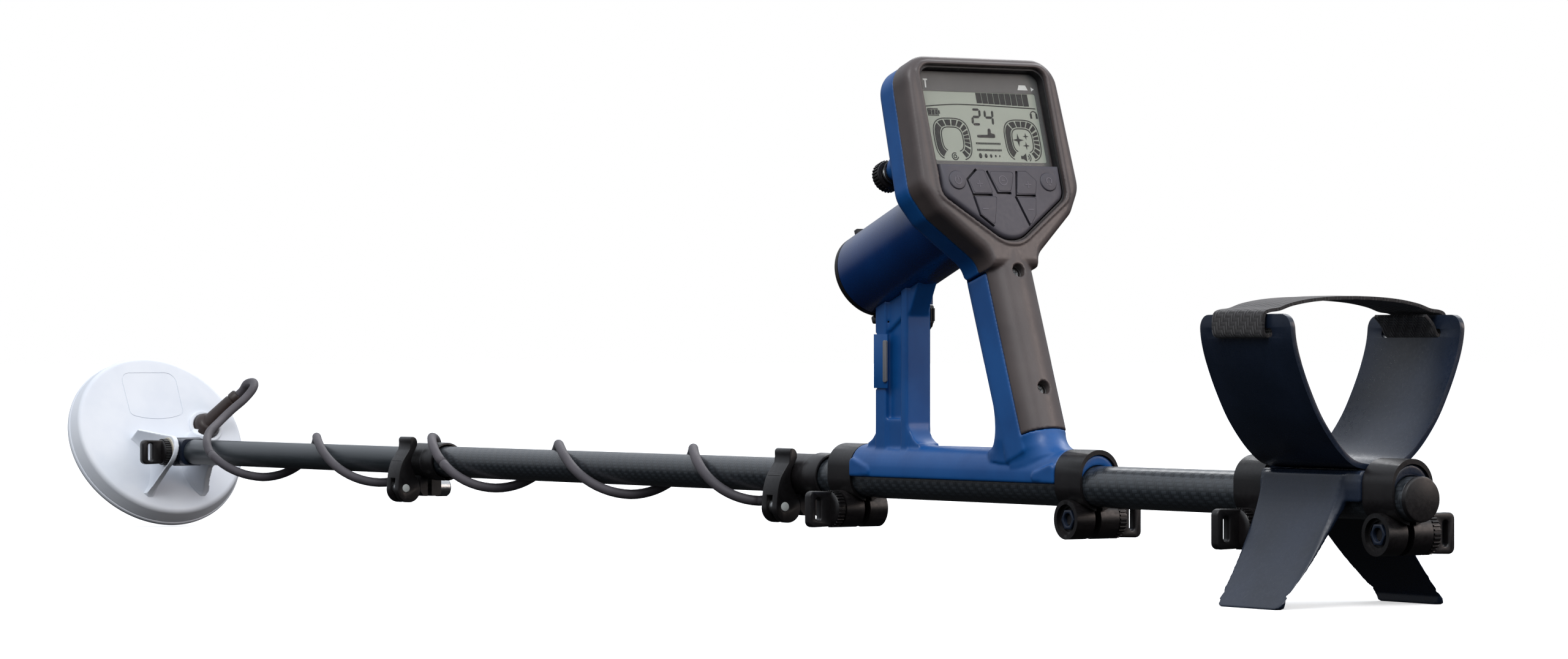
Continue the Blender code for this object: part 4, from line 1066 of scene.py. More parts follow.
def makeTubes():
    for name, tube in tubes.items():
        rear, front = tube["ends"]
        profile = ringProfile(tube["radius"] - 1.0, tube["radius"], 0, front - rear, 0.25)
        wall = lump(alongX(profile, 96), Matrix.Translation(onShaft(front)))
        piece(name + "Tube", wall, tube["body"], look[tube["finish"]], [name + "_tube"])
    face = 2.5
    cap = [
        (0, 0), (10.2, 0), (10.9, -0.25), (11.25, -0.9), (11.3, -face),
        (9.8, -face), (9.8, -20), (0, -20),
    ]
    piece(
        "endCap", lump(alongX(cap, 72), Matrix.Translation(onShaft(0))), "shaft", look["black"],
        ["end_cap"],
    )


makeTubes()

# Cam locks

lock = {"wide": 16.0, "pinY": -17.7, "pinZ": -17.6, "pinR": 2.65, "gap": 0.3}
locks = {
    "1": {"ends": (979.0, 1019.0), "outer": 10.0, "inner": 8.9, "body": "middle"},
    "2": {"ends": (520.0, 561.0), "outer": 11.1, "inner": 10.0, "body": "shaft"},
}


def makeLock(mark, values):
    rear, front = values["ends"]
    long = front - rear
    at = onShaft(front)
    place = Matrix.Translation(at)
    bore, mouth = values["outer"] + 0.3, values["inner"] + 0.3
    body, flare = values["outer"] + 1.7, values["outer"] + 2.5
    shell = [
        (0, 0), (body - 0.9, 0), (body - 0.2, 0.5), (body, 1.3), (body, long - 17.5),
        (body + 0.2, long - 16.4),
        (flare - 0.2, long - 14.6), (flare, long - 13.6), (flare, long - 1), (flare - 0.3, long - 0.3),
        (flare - 0.9, long), (0, long),
    ]
    collar = lump(alongX(shell, 80), place)
    pinZ = lock["pinZ"]
    lugs = rounded([
        (-7.0, -8.0, 0), (-7.0, pinZ - 2, 1), (-4.5, pinZ - 5.4, 1.4), (8.6, pinZ - 5.4, 2.4),
        (8.6, -8.0, 0),
    ], 4)
    join(collar, section(lugs, 1.0, lock["wide"]), place)
    hollow = [
        (0, -1), (mouth, -1), (mouth, 4), (bore, 4), (bore, long - 3), (bore + 1.0, long + 0.5),
        (0, long + 0.5),
    ]
    cut(collar, alongX(hollow, 64), place)
    cut(collar, slab((-1, -1.5, pinZ - 8), (long + 1, 1.5, -5)), place)
    cut(
        collar, aimed(turned(discProfile(2.6, -20, 20), 32), (0, 1, 0), (lock["wide"] / 2 + 0.3, 0, pinZ)),
        place,
    )
    name = "collar" + mark
    piece(name, rounding(collar, 0.5), values["body"], look["black"], ["collar_" + mark])
    leverPlace = Matrix.Translation(at + Vector((lock["gap"], lock["pinY"], pinZ)))
    makeLever(mark, leverPlace)
    makeLockBolt(mark, leverPlace, values["body"])
    screw = [(0, 0), (2.1, 0), (2.1, 0.7), (1.7, 1.1), (0.9, 1.2), (0.9, 0.5), (0, 0.5)]
    screwPlace = turnTo(Matrix.Translation(at + Vector((1.0, 5.4, pinZ + 4.6))), (-1, 0, 0))
    piece("lugScrew" + mark, lump(turned(screw, 32), screwPlace), values["body"], look["steel"])


def makeLever(mark, place):
    wide, pinR = lock["wide"], lock["pinR"]
    lobe = arc((2.2, -1.0), 8.4, 168, 376, 28)
    inner = smoothLine([(8.9, 5.2), (6.6, 8.6), (4.6, 12.6), (3.8, 17.2), (4.6, 21.4), (6.8, 25.2)], 4)
    tip = smoothLine([(8.2, 28.0), (8.2, 30.8), (6.8, 33.0), (4.6, 33.6), (3.0, 32.2), (3.0, 29.0)], 4)
    outer = smoothLine([(2.6, 25.6), (0.0, 21.8), (-3.0, 17.0), (-4.9, 11.0), (-5.8, 5.0)], 4)
    outline = [tuple(p) for p in lobe + inner + tip + outer]
    lever = lump(section(outline, 0, wide), place)
    cut(lever, section(arc((0, 0), pinR + 0.1, 0, 345, 23), -1, wide + 1), place)
    cut(lever, slab((wide / 2 - 3.1, -12, -14), (wide / 2 + 3.1, 14, 6.5)), place)
    rounding(lever, 0.7, 3)
    arm = plainMesh(lever)
    lean = Matrix.Rotation(radians(33), 4, "X")
    start = place @ Matrix.Translation((wide / 2, -2.0, 17.9)) @ lean
    values = {"Count": 4, "Step": (0, 0.1, 2.6), "Bar": (wide - 2.4, 1.2, 1.1), "Finish": look["black"]}
    ribs = grown("row", values, start @ Matrix.Rotation(radians(-66), 4, "X"), 0.3)
    piece(
        "lever" + mark, merged([arm, ribs]), "lever_" + mark, look["black"],
        ["lever_" + mark],
    )
    # the pin is pale and not metal: its brightness is a painted reflection
    rod = aimed(turned(discProfile(pinR, -0.2, wide + 0.15, 0.4), 40), (1, 0, 0))
    piece(
        "leverPin" + mark, lump(rod, place), "lever_" + mark, look["pinPaintedShine"],
        ["lever_pin_" + mark],
    )


def makeLockBolt(mark, place, body):
    middle, pinR = lock["wide"] / 2, lock["pinR"]
    eye = lump(aimed(turned(discProfile(4.8, -2.7, 2.7, 0.4), 48), (1, 0, 0), (middle, 0, 0)), place)
    start = 8.9 - lock["pinY"]
    shank = [
        (0, 1), (2.3, 1), (2.3, start), (5.6, start), (6.0, start + 0.5), (6.0, start + 7.4),
        (5.2, start + 8.5),
        (2.4, start + 8.6), (2.0, start + 7.4), (0, start + 7.4),
    ]
    join(eye, aimed(turned(shank, 48), (0, 1, 0), (middle, 0, 0)), place)
    cut(eye, aimed(turned(discProfile(pinR + 0.15, -4, 4), 40), (1, 0, 0), (middle, 0, 0)), place)
    piece("lockBolt" + mark, eye, body, look["steel"], ["lock_bolt_" + mark])


for mark, values in locks.items():
    makeLock(mark, values)
print("shaft made")

# Ring clamps

ring = {
    "long": 23.0, "radius": 12.9, "rise": 6.8, "bore": 11.4, "boreRise": 5.8, "barrelZ": -17.5,
    "barrelR": 10.6, "barrelHalf": 14.0,
}
clamps = {
    "handleFront": {"station": 496.0, "hand": -1, "body": "shaft"},
    "handleRear": {"station": 275.5, "hand": 1, "body": "shaft"},
    "cuffFront": {"station": 121.0, "hand": -1, "body": "cuff"},
    "cuffRear": {"station": 19.0, "hand": 1, "body": "cuff"},
}


def stadium(radius, rise, steps=20):
    return arc((0, 0), radius, 180, 360, steps) + arc((0, rise), radius, 0, 180, steps)


def snake(name):
    return "".join("_" + c.lower() if c.isupper() else c for c in name)


def makeClamp(name, values):
    r, hand, body = ring, values["hand"], values["body"]
    at = onShaft(values["station"])
    place = Matrix.Translation(at)
    half, barrelHalf = r["long"] / 2, r["barrelHalf"]
    band = lump(section(stadium(r["radius"], r["rise"]), -half, half), place)
    low = place @ Matrix.Translation((0, 0, r["barrelZ"]))
    join(band, alongY(discProfile(r["barrelR"], -barrelHalf, barrelHalf), 56), low)
    cut(band, section(stadium(r["bore"], r["boreRise"]), -half - 1, half + 1), place)
    cut(band, slab((-half - 1, -2, r["barrelZ"] - r["barrelR"] - 1), (half + 1, 2, -6)), place)
    bore = [
        (0, -20), (3.1, -20), (3.1, barrelHalf - 3.4), (6.6, barrelHalf - 3.4), (6.6, barrelHalf - 2.2),
        (8.2, barrelHalf - 2.2),
        (8.2, 20), (0, 20),
    ]
    cut(band, aimed(turned(bore, 48), (0, -hand, 0)), low)
    rounding(band, 0.9, 3)
    node = snake(name)
    piece(name + "Clamp", band, body, look["black"], [node + "_clamp"])
    nutPlace = turnTo(low, (0, -hand, 0))
    hexagon = arc((0, 0), 5.9, 0, 300, 5)
    nut = lump(prism(hexagon, barrelHalf - 5.0, barrelHalf - 1.2), nutPlace)
    cut(nut, turned(discProfile(3.4, barrelHalf - 7, barrelHalf + 1), 32), nutPlace)
    piece(name + "Nut", rounding(nut, 0.4), body, look["cuff"])
    thread = []
    for k in range(9):
        y = -2.0 + k * 0.5
        thread.append((4.6 if k % 2 else 3.9, y))
    spool = lump(alongY([(0, -2.0)] + thread + [(0, 2.0)], 40), low)
    piece(name + "Spool", spool, body, look["black"])
    stud = (-barrelHalf + 3.0, barrelHalf + 2)
    makeKnob(
        name + "Knob", node + "_knob", at + Vector((0, 0, r["barrelZ"])), hand, barrelHalf + 0.3,
        r["barrelR"], 10.4, 16.6, stud,
    )


for name, values in clamps.items():
    makeClamp(name, values)
print("clamps made")

# The handle's blue frame

handle = {
    "gripHalf": 14.0, "gripFront": -18.3, "seam": 6.0, "gripRear": 18.3, "screws": (39.1, -28.5),
    "postFront": 465.5, "postRear": 434.3, "postHalf": 8.4, "door": (51.0, 82.0), "tubeR": 11.4,
}
podSizes = {"seam": -11.0, "back": -27.0, "face": 5.0, "socket": (-36.0, 7.5)}
batterySizes = {"radius": 24.5, "wall": 2.5, "long": 106.0, "cap": 4.0, "plug": (455.8, 16.8)}


def saddle(half):
    return half + [(-y, z) for y, z in reversed(half[:-1])]


def tongue():
    half = ring["bore"] - 0.3
    return [(half, 1.0)] + arc((0, ring["boreRise"]), half, 0, 180, 20) + [(-half, 1.0)]


def makeHandleFrame():
    h, b = handle, batterySizes
    rearRing, frontRing = 275.5 + 11.8, 496.0 - 11.8
    beam = saddle([
        (13.2, 1.0), (13.3, 4.5), (13.2, 7.6), (12.7, 9.8), (11.9, 12.0), (10.8, 14.1), (9.2, 16.1),
        (7.4, 17.6), (5.2, 18.8), (2.6, 19.4), (0, 19.6),
    ])
    body = lump(section(beam, -frontRing, -rearRing), shaft)
    join(body, section(tongue(), -506.5, -265.0), shaft)
    columns = (
        (h["postFront"], 455.0, h["postHalf"]), (456.0, 439.0, 5.0), (440.0, h["postRear"], h["postHalf"]),
    )
    for low, high, half in columns:
        join(body, slab((-low, -half, 12), (-high, half, 122)), shaft)
    foot = [(-475, 16)] + arc((-479, 34), 14, -75, 0, 8) + arc((-420.5, 34), 14, 180, 255, 8) + [(-424, 16)]
    join(body, sideView(foot, -7.0, 7.0), shaft)
    brow = [(-470, 94), (-465.6, 86), (-460, 80), (-440, 92), (-434.3, 92), (-420, 120), (-470, 120)]
    join(body, sideView(brow, -6.4, 6.4), shaft)
    addGrip(body)
    addLeaves(body, frontRing, rearRing)
    cut(body, turned(discProfile(b["radius"] - 1.0, 0, b["long"] - 6), 96), housing)
    cut(body, turned(discProfile(b["radius"] + 0.3, -20, 7.5), 96), housing)
    cut(body, turned(discProfile(b["radius"] + 0.3, b["long"] - 7.5, b["long"] + 20), 96), housing)
    cut(body, slab((-70, -62.3, podSizes["back"] - 0.1), (70, 80, 40)), pod)
    cut(body, alongX(discProfile(h["tubeR"], 0, 280), 72), Matrix.Translation(onShaft(520)))
    cut(body, slab((b["radius"] - 2, -7, -5), (b["radius"] + 11, 7, 18)), housing)
    cut(
        body, slab((-h["postFront"] - 2, -20, h["door"][0]), (-h["postFront"] + 1.8, 20, h["door"][1])),
        shaft,
    )
    piece(
        "handleFrame", softened(body, 0.75, 4), "shaft", look["blue"], ["handle_frame"], 60,
    )


def addGrip(body):
    h = handle
    corner = 9.5
    front = h["gripFront"] + corner
    outline = (
        [(h["seam"], h["gripHalf"])]
        + arc((front, h["gripHalf"] - corner), corner, 90, 180, 10)
        + arc((front, corner - h["gripHalf"]), corner, 180, 270, 10)
        + [(h["seam"], -h["gripHalf"])]
    )
    join(body, prism(outline, -61, 62), grip)
    join(body, gripFoot(), shaft)
    join(body, gripDish(), shaft)
    cut(body, slab((h["seam"], -30, -52), (40, 30, 90)), grip)
    for height in h["screws"]:
        cut(body, aimed(turned(discProfile(1.7, -8, 12), 24), (1, 0, 0), (0, 0, height)), grip)


def curveThrough(knots, steps=10):
    # a cubic Bezier from its four points, in two coordinates
    out = []
    for k in range(steps + 1):
        t = k / steps
        a, b, c, d = [Vector(p) for p in knots]
        out.append(a * (1 - t) ** 3 + b * 3 * t * (1 - t) ** 2 + c * 3 * t * t * (1 - t) + d * t ** 3)
    return out


def flared(inside, outside, power, halves):
    # a body whose rings run from an inner line round an outer one, blunt by the power
    rings = []
    for fixed, far, half in zip(inside, outside, halves):
        ring = []
        for k in range(25):
            a = -pi / 2 + pi * k / 24
            reach = abs(cos(a)) ** power
            at = fixed + (far - fixed) * reach
            ring.append(
                (at.x, half * (1 if sin(a) > 0 else -1) * abs(sin(a)) ** (0.7 if power < 0.6 else 1), at.y)
            )
        rings.append(ring)
    return skin(rings)


def gripFoot():
    # the front of the grip runs out into the beam in a hollow curve
    seat = shaft.inverted() @ grip
    face = seat @ Vector((handle["gripFront"] + 0.5, 0, 0))
    down = (seat @ Vector((handle["gripFront"] + 0.5, 0, -10)) - face).normalized()
    at = [face + down * ((face.z - height) / -down.z) for height in (50.0, 34.0, 18.0)]
    knots = [(at[0].x, at[0].z), (at[1].x, at[1].z), (at[2].x - 5.0, 18.9), (at[2].x - 17.0, 18.6)]
    outside = curveThrough(knots, 14) + [Vector((knots[3][0], 13.0))]
    inside = [
        Vector((at[0].x + 22.0 + 0.2 * k, 46.0 - 2.4 * k))
        for k in range(15)
    ] + [Vector((at[0].x + 24.0, 11.0))]
    return flared(inside, outside, 0.4, [13.9] * 10 + [13.7, 13.5, 13.3, 13.2, 13.1, 13.1])


def gripDish():
    # behind the grip the frame carries the cover's curve on and down into the beam
    outside = curveThrough([
        (-305.9, 31.0), (-303.4, 24.6), (-298.0, 20.6), (-287.0, 19.0),
    ], 14) + [Vector((-287.0, 12.0))]
    inside = curveThrough([
        (-318.0, 26.6), (-322.0, 20.0), (-326.0, 14.0), (-328.0, 11.0),
    ], 14) + [Vector((-328.0, 9.0))]
    return flared(inside, outside, 0.8, [14.0] * 8 + [13.8, 13.6, 13.5, 13.4, 13.3, 13.2, 13.2, 13.2])


def addLeaves(body, frontRing, rearRing):
    # raised leaf shapes on the beam's sides, beside both rings
    for start, way in ((frontRing, -1), (rearRing, 1)):
        for hand in (-1, 1):
            leaf = rounded([
                (-start, 1.5, 0), (-start - way * 24, 3.0, 2), (-start - way * 17, 7.5, 5),
                (-start, 13.0, 3),
            ], 5)
            join(body, sideView(leaf, *sorted((hand * 10.0, hand * 14.1))), shaft)


makeHandleFrame()
print("handle frame made")

# The pod: front cover, blue back, display and keypad


def podOutline(s=0.0):
    right = [
        (15.5 - s, s - 62, 0), (16.5 - s, -55.5 + s / 2, 14), (44.5 - s, -30.5 + s / 2, 12),
        (52.8 - s, -16, 16),
        (50.0 - s, 59.5 - s, 15),
    ]
    return rounded(right + [(-x, y, r) for x, y, r in reversed(right)], 10)


def faceOutline(s=0.0, steps=10):
    right = [(0, -52.5 + s, 18), (41.8 - s, -22 + s / 2, 9), (42.2 - s, 53.5 - s, 7)]
    return rounded(right + [(-x, y, r) for x, y, r in reversed(right) if x], steps)


def shelled(outline, levels):
    # an outline stacked through (height, inset) levels
    rings = []
    middle = Vector((sum(p[0] for p in outline), sum(p[1] for p in outline))) / len(outline)
    for height, inset in levels:
        ring = []
        for x, y in outline:
            away = Vector((x, y)) - middle
            place = middle + away * (1 - inset / away.length)
            ring.append((place.x, place.y, height))
        rings.append(ring)
    return skin(rings)


def makeFrontCover():
    h, p = handle, podSizes
    levels = [
        (p["seam"], 0.5), (p["seam"] + 0.8, 0.1), (p["face"] - 4.6, 0.0), (p["face"] - 2.6, 0.5),
        (p["face"] - 1.0, 1.8), (p["face"], 4.4),
    ]
    cover = lump(shelled(podOutline(), levels), pod)
    rear = [(h["seam"] + 0.3, -h["gripHalf"])] + gripBack() + [(h["seam"] + 0.3, h["gripHalf"])]
    join(cover, prism(rear, -51.7, 62), grip)
    rim = frameOf(faceOutline(-2.0), faceOutline(-0.1), p["face"] - 2, p["face"] + 0.9)
    join(cover, rim, pod)
    cut(cover, prism(faceOutline(), -3.6, 20), pod)
    cut(cover, prism(faceOutline(3.0), -20, -2), pod)
    for height in h["screws"]:
        cut(
            cover, aimed(turned(discProfile(3.8, h["seam"] + 4.2, 30), 40), (1, 0, 0), (0, 0, height)),
            grip,
        )
        cut(cover, aimed(turned(discProfile(1.7, 0, 20), 24), (1, 0, 0), (0, 0, height)), grip)
    piece("frontCover", softened(cover, 0.7, 3), "shaft", look["grey"], ["front_cover"], 60)
    for height, name in zip(h["screws"], ("gripScrewUpper", "gripScrewLower")):
        makeGripScrew(name, height)


def makeGripScrew(name, height):
    s = handle["seam"]
    screw = [
        (0, -6), (1.5, -6), (1.5, s + 4.5), (3.3, s + 4.5), (3.3, s + 6.2), (2.7, s + 6.8), (1.0, s + 6.8),
        (0.8, s + 5.6), (0, s + 5.6),
    ]
    place = grip @ Matrix.Translation((0, 0, height))
    head = lump(aimed(turned(screw, 36), (1, 0, 0)), place)
    for turn in (0, 90):
        cross = slab((s + 5.7, -1.9, -0.35), (s + 9, 1.9, 0.35))
        bmesh.ops.rotate(cross, matrix=Matrix.Rotation(radians(turn + 20), 3, "X"), verts=cross.verts)
        cut(head, cross, place)
    piece(name, head, "shaft", look["steel"], [snake(name)])
    well = [(3.55, s + 6.9), (4.1, s + 6.9), (4.1, s + 7.4), (3.55, s + 7.4)]
    piece(name + "Rim", lump(aimed(turned(well, 40), (1, 0, 0)), place), "shaft", look["steel"])


def gripBack():
    deep = handle["gripRear"] - handle["seam"]
    angles = [-pi / 2 + pi * i / 24 for i in range(1, 24)]
    return [(handle["seam"] + deep * abs(cos(a)) ** 0.85, handle["gripHalf"] * sin(a)) for a in angles]


def makePodBack():
    p = podSizes
    back, seam = p["back"], p["seam"]
    levels = [
        (back, 4.2), (back + 1.0, 1.9), (back + 2.6, 0.6), (back + 4.6, 0.0), (seam - 1.0, 0.0),
        (seam - 0.3, 0.4),
    ]
    tray = lump(shelled(podOutline(0.4), levels), pod)
    cut(tray, prism(podOutline(3.4), back + 2.6, 0), pod)
    x, y = p["socket"]
    neck = pod @ Matrix.Translation((x, y, 0))
    join(tray, turned([
        (0, -46), (5.6, -46), (5.6, -42), (8.0, -38), (9.0, back + 1), (0, back + 1),
    ], 48), neck)
    cut(tray, turned(discProfile(3.2, -60, -30), 32), neck)
    piece("podBack", softened(tray, 0.75, 3), "shaft", look["blue"], ["pod_housing"], 60)
    piece(
        "socketRing", lump(turned(ringProfile(3.3, 5.9, -46.25, -44.6, 0.2), 48), neck), "shaft",
        look["steel"],
    )
    shell = [
        (0, -54), (6.4, -54), (7.2, -53.7), (8.1, -53.0), (8.3, -52.4), (8.3, -47.6), (8.0, -46.9),
        (6.2, -46.5), (6.2, -50.5),
        (0, -50.5),
    ]
    knurl = {"Count": 28, "Radius": 8.3, "Tooth": (1.1, 1.0, 4.6), "Finish": look["black"]}
    teeth = grown("teeth", knurl, neck @ Matrix.Translation((0, 0, -50.1)))
    capMesh = merged([plainMesh(lump(turned(shell, 56), neck)), teeth])
    piece("socketCap", capMesh, "socket_cap", look["black"], ["socket_cap"])
    tie = [(x + 6.4 * cos(a), y + 6.4 * sin(a), -42.6) for a in [2 * pi * k / 36 for k in range(36)]]
    loop = [
        (x + 6.3, y + 1, -42.6), (x + 11, y + 3, -41.5), (x + 14, y + 5, -37), (x + 13, y + 7, -32),
        (x + 9.5, y + 7, -27.5),
    ]
    piece("capTie", lump(bar(tie + tie[:1], 0.7, 10), pod), "shaft", look["black"])
    piece(
        "capTether", lump(bar(smoothLine(loop, 8), 0.8, 10), pod), "shaft", look["black"],
    )


# What the screen shows, in millimetres on the pod's face

screen = {
    "lit": [(-37.9, 40.6, 1.2), (37.8, 40.6, 1.2), (37.6, 0.2, 1.2), (-36.6, 0.2, 1.2)],
    "low": -1.98,
    "high": -1.86,
    "stroke": 0.55,
}


def strokes(lines, width):
    # flat lines of one width through lists of points
    meshes = []
    for line in lines:
        points = [Vector(p) for p in line]
        left, right = [], []
        for i, point in enumerate(points):
            along = (points[min(i + 1, len(points) - 1)] - points[max(i - 1, 0)]).normalized()
            side = Vector((-along.y, along.x)) * width / 2
            left.append(tuple(point + side))
            right.append(tuple(point - side))
        meshes.append(left + right[::-1])
    return meshes


def flats(outlines, low, high):
    bm = bmesh.new()
    for outline in outlines:
        part = prism(outline, low, high)
        mesh = bpy.data.meshes.new("flat")
        part.to_mesh(mesh)
        part.free()
        bm.from_mesh(mesh)
        bpy.data.meshes.remove(mesh)
    return bm


def screenMarks():
    s = screen["stroke"]
    shapes = []
    for k in range(9):
        x = -2.3 + 3.92 * k
        foot = 34.3 - 0.13 * k
        shapes.append([(x, foot), (x + 3.55, foot), (x + 3.55, 40.3), (x, 40.3)])
    lines = [smoothLine([(-37.4, 31.6), (-20, 33.1), (-3.9, 33.2), (16, 32.7), (36.6, 32.0)], 5)]
    shapes += digit("abged", -4.6, 26.2) + digit("fgbc", 3.9, 26.0)
    for gauge in gauges:
        shapes += gaugeSegments(gauge)
        edge = gaugeLine(gauge, 1.0, range(gauge["open"][0], gauge["open"][1], 3))
        lines += [edge, gaugeLine(gauge, 0.58, range(gauge["open"][0], gauge["open"][1], 3))]
    shapes.append(rounded([
        (-6.2, 14.2, 0.8), (5.9, 14.2, 0.8), (5.9, 16.4, 0.9), (3.4, 16.9, 0.5), (1.0, 15.9, 0.3),
        (-6.2, 15.7, 0.7),
    ], 3))
    shapes.append(rounded([(1.0, 15.6, 0.3), (3.3, 16.2, 0.3), (3.6, 19.6, 0.9), (1.7, 19.5, 0.9)], 3))
    for height in (10.8, 7.0):
        for k in range(17):
            x = -7.9 + 0.98 * k
            shapes.append([
                (x, height - 0.55), (x + 0.7, height - 0.55), (x + 0.85, height + 0.55),
                (x + 0.15, height + 0.55),
            ])
    for x, r in ((-6.3, 1.5), (-2.6, 1.3), (0.8, 1.05), (3.9, 0.8), (6.6, 0.6)):
        shapes.append([
            (x + 0.7 * r * cos(t), 3.6 + r * sin(t))
            for t in [2 * pi * k / 14 for k in range(14)]
        ])
    shapes += [star(21.1, 13.3, 3.7), star(26.5, 15.6, 2.0), star(25.9, 10.1, 2.3)]
    lines += [[(-36.2, 30.2), (-29.4, 30.2), (-29.4, 26.4), (-36.2, 26.4), (-36.2, 30.2)]]
    shapes += [[(-29.3, 27.4), (-28.4, 27.4), (-28.4, 29.3), (-29.3, 29.3)]]
    shapes += [[(x, 26.9), (x + 1.75, 26.9), (x + 1.75, 29.7), (x, 29.7)] for x in (-35.8, -33.7, -31.6)]
    lines += [arc((34.7, 28.4), 2.0, 0, 180, 12)]
    shapes += [[(x, 26.2), (x + 1.2, 26.2), (x + 1.2, 28.9), (x, 28.9)] for x in (32.2, 36.0)]
    lines += [arc((-23.3, 2.9), 2.0, 60, 350, 16), arc((-23.3, 2.9), 0.9, 0, 360, 12)]
    shapes += [[(21.0, 2.3), (22.6, 2.3), (24.6, 0.8), (24.6, 5.6), (22.6, 4.1), (21.0, 4.1)]]
    lines += [arc((24.8, 3.2), 1.5, -50, 50, 8), arc((24.8, 3.2), 2.7, -50, 50, 8)]
    return shapes + strokes(lines, s)


# Each dial is a squarish ring of dark blocks; a block is its first and last degree
gauges = (
    {"middle": (-23.0, 12.8), "half": (12.0, 12.2), "open": (-62, 238), "blocks": [
        (-56, -44), (-40, -28), (-22, -12), (-9, 1), (4, 14), (17, 27), (31, 43), (48, 62), (66, 83),
        (88, 108), (113, 130),
        (134, 232),
    ]},
    {"middle": (24.0, 13.0), "half": (11.7, 12.1), "open": (-62, 236), "blocks": [
        (-57, -45), (-41, -30), (-25, -14), (-10, 0), (4, 14), (18, 28), (33, 45), (50, 64), (68, 84),
        (88, 105), (110, 128),
        (133, 230),
    ]},
)


def gaugeLine(gauge, share, angles):
    (x, y), (a, b) = gauge["middle"], gauge["half"]
    line = []
    for angle in angles:
        c, s = cos(radians(angle)), sin(radians(angle))
        reach = share / (abs(c) ** 3.2 + abs(s) ** 3.2) ** (1 / 3.2)
        line.append((x + a * reach * c, y + b * reach * s))
    return line


def gaugeSegments(gauge):
    shapes = []
    for first, last in gauge["blocks"]:
        count = max(2, (last - first) // 4)
        angles = [first + (last - first) * k / count for k in range(count + 1)]
        shapes.append(gaugeLine(gauge, 0.93, angles) + gaugeLine(gauge, 0.65, angles[::-1]))
    return shapes


def digit(parts, x, y):
    # a seven-bar figure that leans a little
    w, h, t = 2.5, 4.3, 1.35
    bars = {
        "a": ((-w, h), (w, h)), "g": ((-w, 0), (w, 0)), "d": ((-w, -h), (w, -h)),
        "f": ((-w, 0), (-w, h)), "b": ((w, 0), (w, h)), "e": ((-w, -h), (-w, 0)), "c": ((w, -h), (w, 0)),
    }
    shapes = []
    for part in parts:
        (x0, y0), (x1, y1) = bars[part]
        along = Vector((x1 - x0, y1 - y0)).normalized()
        side = Vector((-along.y, along.x)) * t / 2
        a, b = Vector((x0, y0)) + along * 0.15, Vector((x1, y1)) - along * 0.15
        tip = along * t / 2
        corners = [a, a + tip + side, b - tip + side, b, b - tip - side, a + tip - side]
        if part in "agd":
            corners = [
                a + tip * 0.2, a + tip + side, b - tip + side, b - tip * 0.2, b - tip - side,
                a + tip - side,
            ]
        shapes.append([(x + q.x + 0.1 * q.y, y + q.y) for q in corners[::-1]])
    return shapes


def star(x, y, r):
    points = []
    for k in range(8):
        a = pi / 4 * k + pi / 2
        reach = r if k % 2 == 0 else r * 0.27
        points.append((x + reach * cos(a), y + reach * sin(a)))
    return points


def stripMarks():
    # pictures in the strip over the screen: a nail, an ingot and two pointers
    shapes = strokes([[(-34.9, 42.4), (-34.5, 47.0)], [(-35.9, 47.2), (-33.1, 47.2)]], 0.9)
    shapes += [[(-39.4, 43.4), (-37.4, 44.6), (-37.4, 42.2)], [(37.9, 43.4), (35.9, 42.2), (35.9, 44.6)]]
    shapes += [[(26.7, 42.7), (33.7, 42.7), (32.4, 45.6), (28.0, 45.6)]]
    return shapes


def makeDisplay():
    low, high = screen["low"], screen["high"]
    window = rounded([(39.6, -2.2, 3), (41.2, 52.2, 5), (-41.2, 52.2, 5), (-39.6, -2.2, 3)], 8)
    pane = lump(prism(window, -1.7, 0), pod)
    piece("displayWindow", rounding(pane, 0.3), "shaft", look["glass"], ["display_window"])
    dress("lcd_panel", look["screen"])
    outer = [(39.4, -2.0), (41.0, 52.0), (-41.0, 52.0), (-39.4, -2.0)]
    outer = rounded([(x, y, 1.2) for x, y in outer], 6)
    lit = rounded([(screen["lit"][k][0], screen["lit"][k][1], 1.2) for k in (2, 1, 0, 3)], 6)
    piece("displayMask", lump(frameOf(outer, lit, -2.3, -1.8), pod), "shaft", look["surround"])
    piece("displayMarks", lump(flats(screenMarks(), low, high), pod), "shaft", look["ink"])
    piece("stripMarks", lump(flats(stripMarks(), -1.8, -1.74), pod), "shaft", look["printed"])
    # a dark liner on the face opening's walls: painted shade in the recess round the display and keypad
    shadeLiner = frameOf(faceOutline(0.0), faceOutline(1.0), -1.6, 3.4)
    piece("displayShadeLiner", lump(shadeLiner, pod), "shaft", look["recess"])
    dress("circuit_board", look["board"])
    dress("speaker", look["black"])


keyPad = {"lift": 6.2, "travel": 0.6, "capTall": 1.25, "roundTall": 2.1, "groove": 1.5}
grooves = [
    [(-16.6, -7.0), (-23.7, -13.0), (-21.5, -21.7), (-8.6, -21.7)],
    [(-21.3, -22.2), (-19.1, -33.5), (-11.2, -39.8)],
    [(-9.7, -7.8), (-5.0, -20.5), (4.2, -20.5)],
    [(10.2, -7.6), (7.2, -21.7), (20.4, -21.7)],
    [(6.6, -22.2), (12.8, -39.0)],
]
roundKeys = {"key_power": (-30.4, -13.6), "key_light": (30.4, -13.6)}
padKeys = {
    "key_mode": [(-8.6, -8.2, 1.5), (8.2, -8.2, 1.5), (4.2, -19.4, 2), (-3.6, -19.4, 2)],
    "key_left_plus": [
        (-20.4, -20.6, 1), (-22.6, -13.0, 2), (-16.4, -7.6, 1), (-11.4, -7.6, 1), (-8.2, -20.6, 1),
    ],
    "key_left_minus": [(-20.2, -22.8, 1), (-18.0, -33.0, 2), (-10.6, -38.8, 1), (-6.0, -22.8, 1)],
    "key_right_plus": [
        (11.2, -7.6, 1), (16.4, -7.6, 1), (22.6, -13.0, 2), (20.4, -20.6, 1), (8.0, -20.6, 1),
    ],
    "key_right_minus": [(20.2, -22.8, 1), (18.0, -33.0, 2), (13.4, -38.8, 1), (6.4, -22.8, 1)],
}


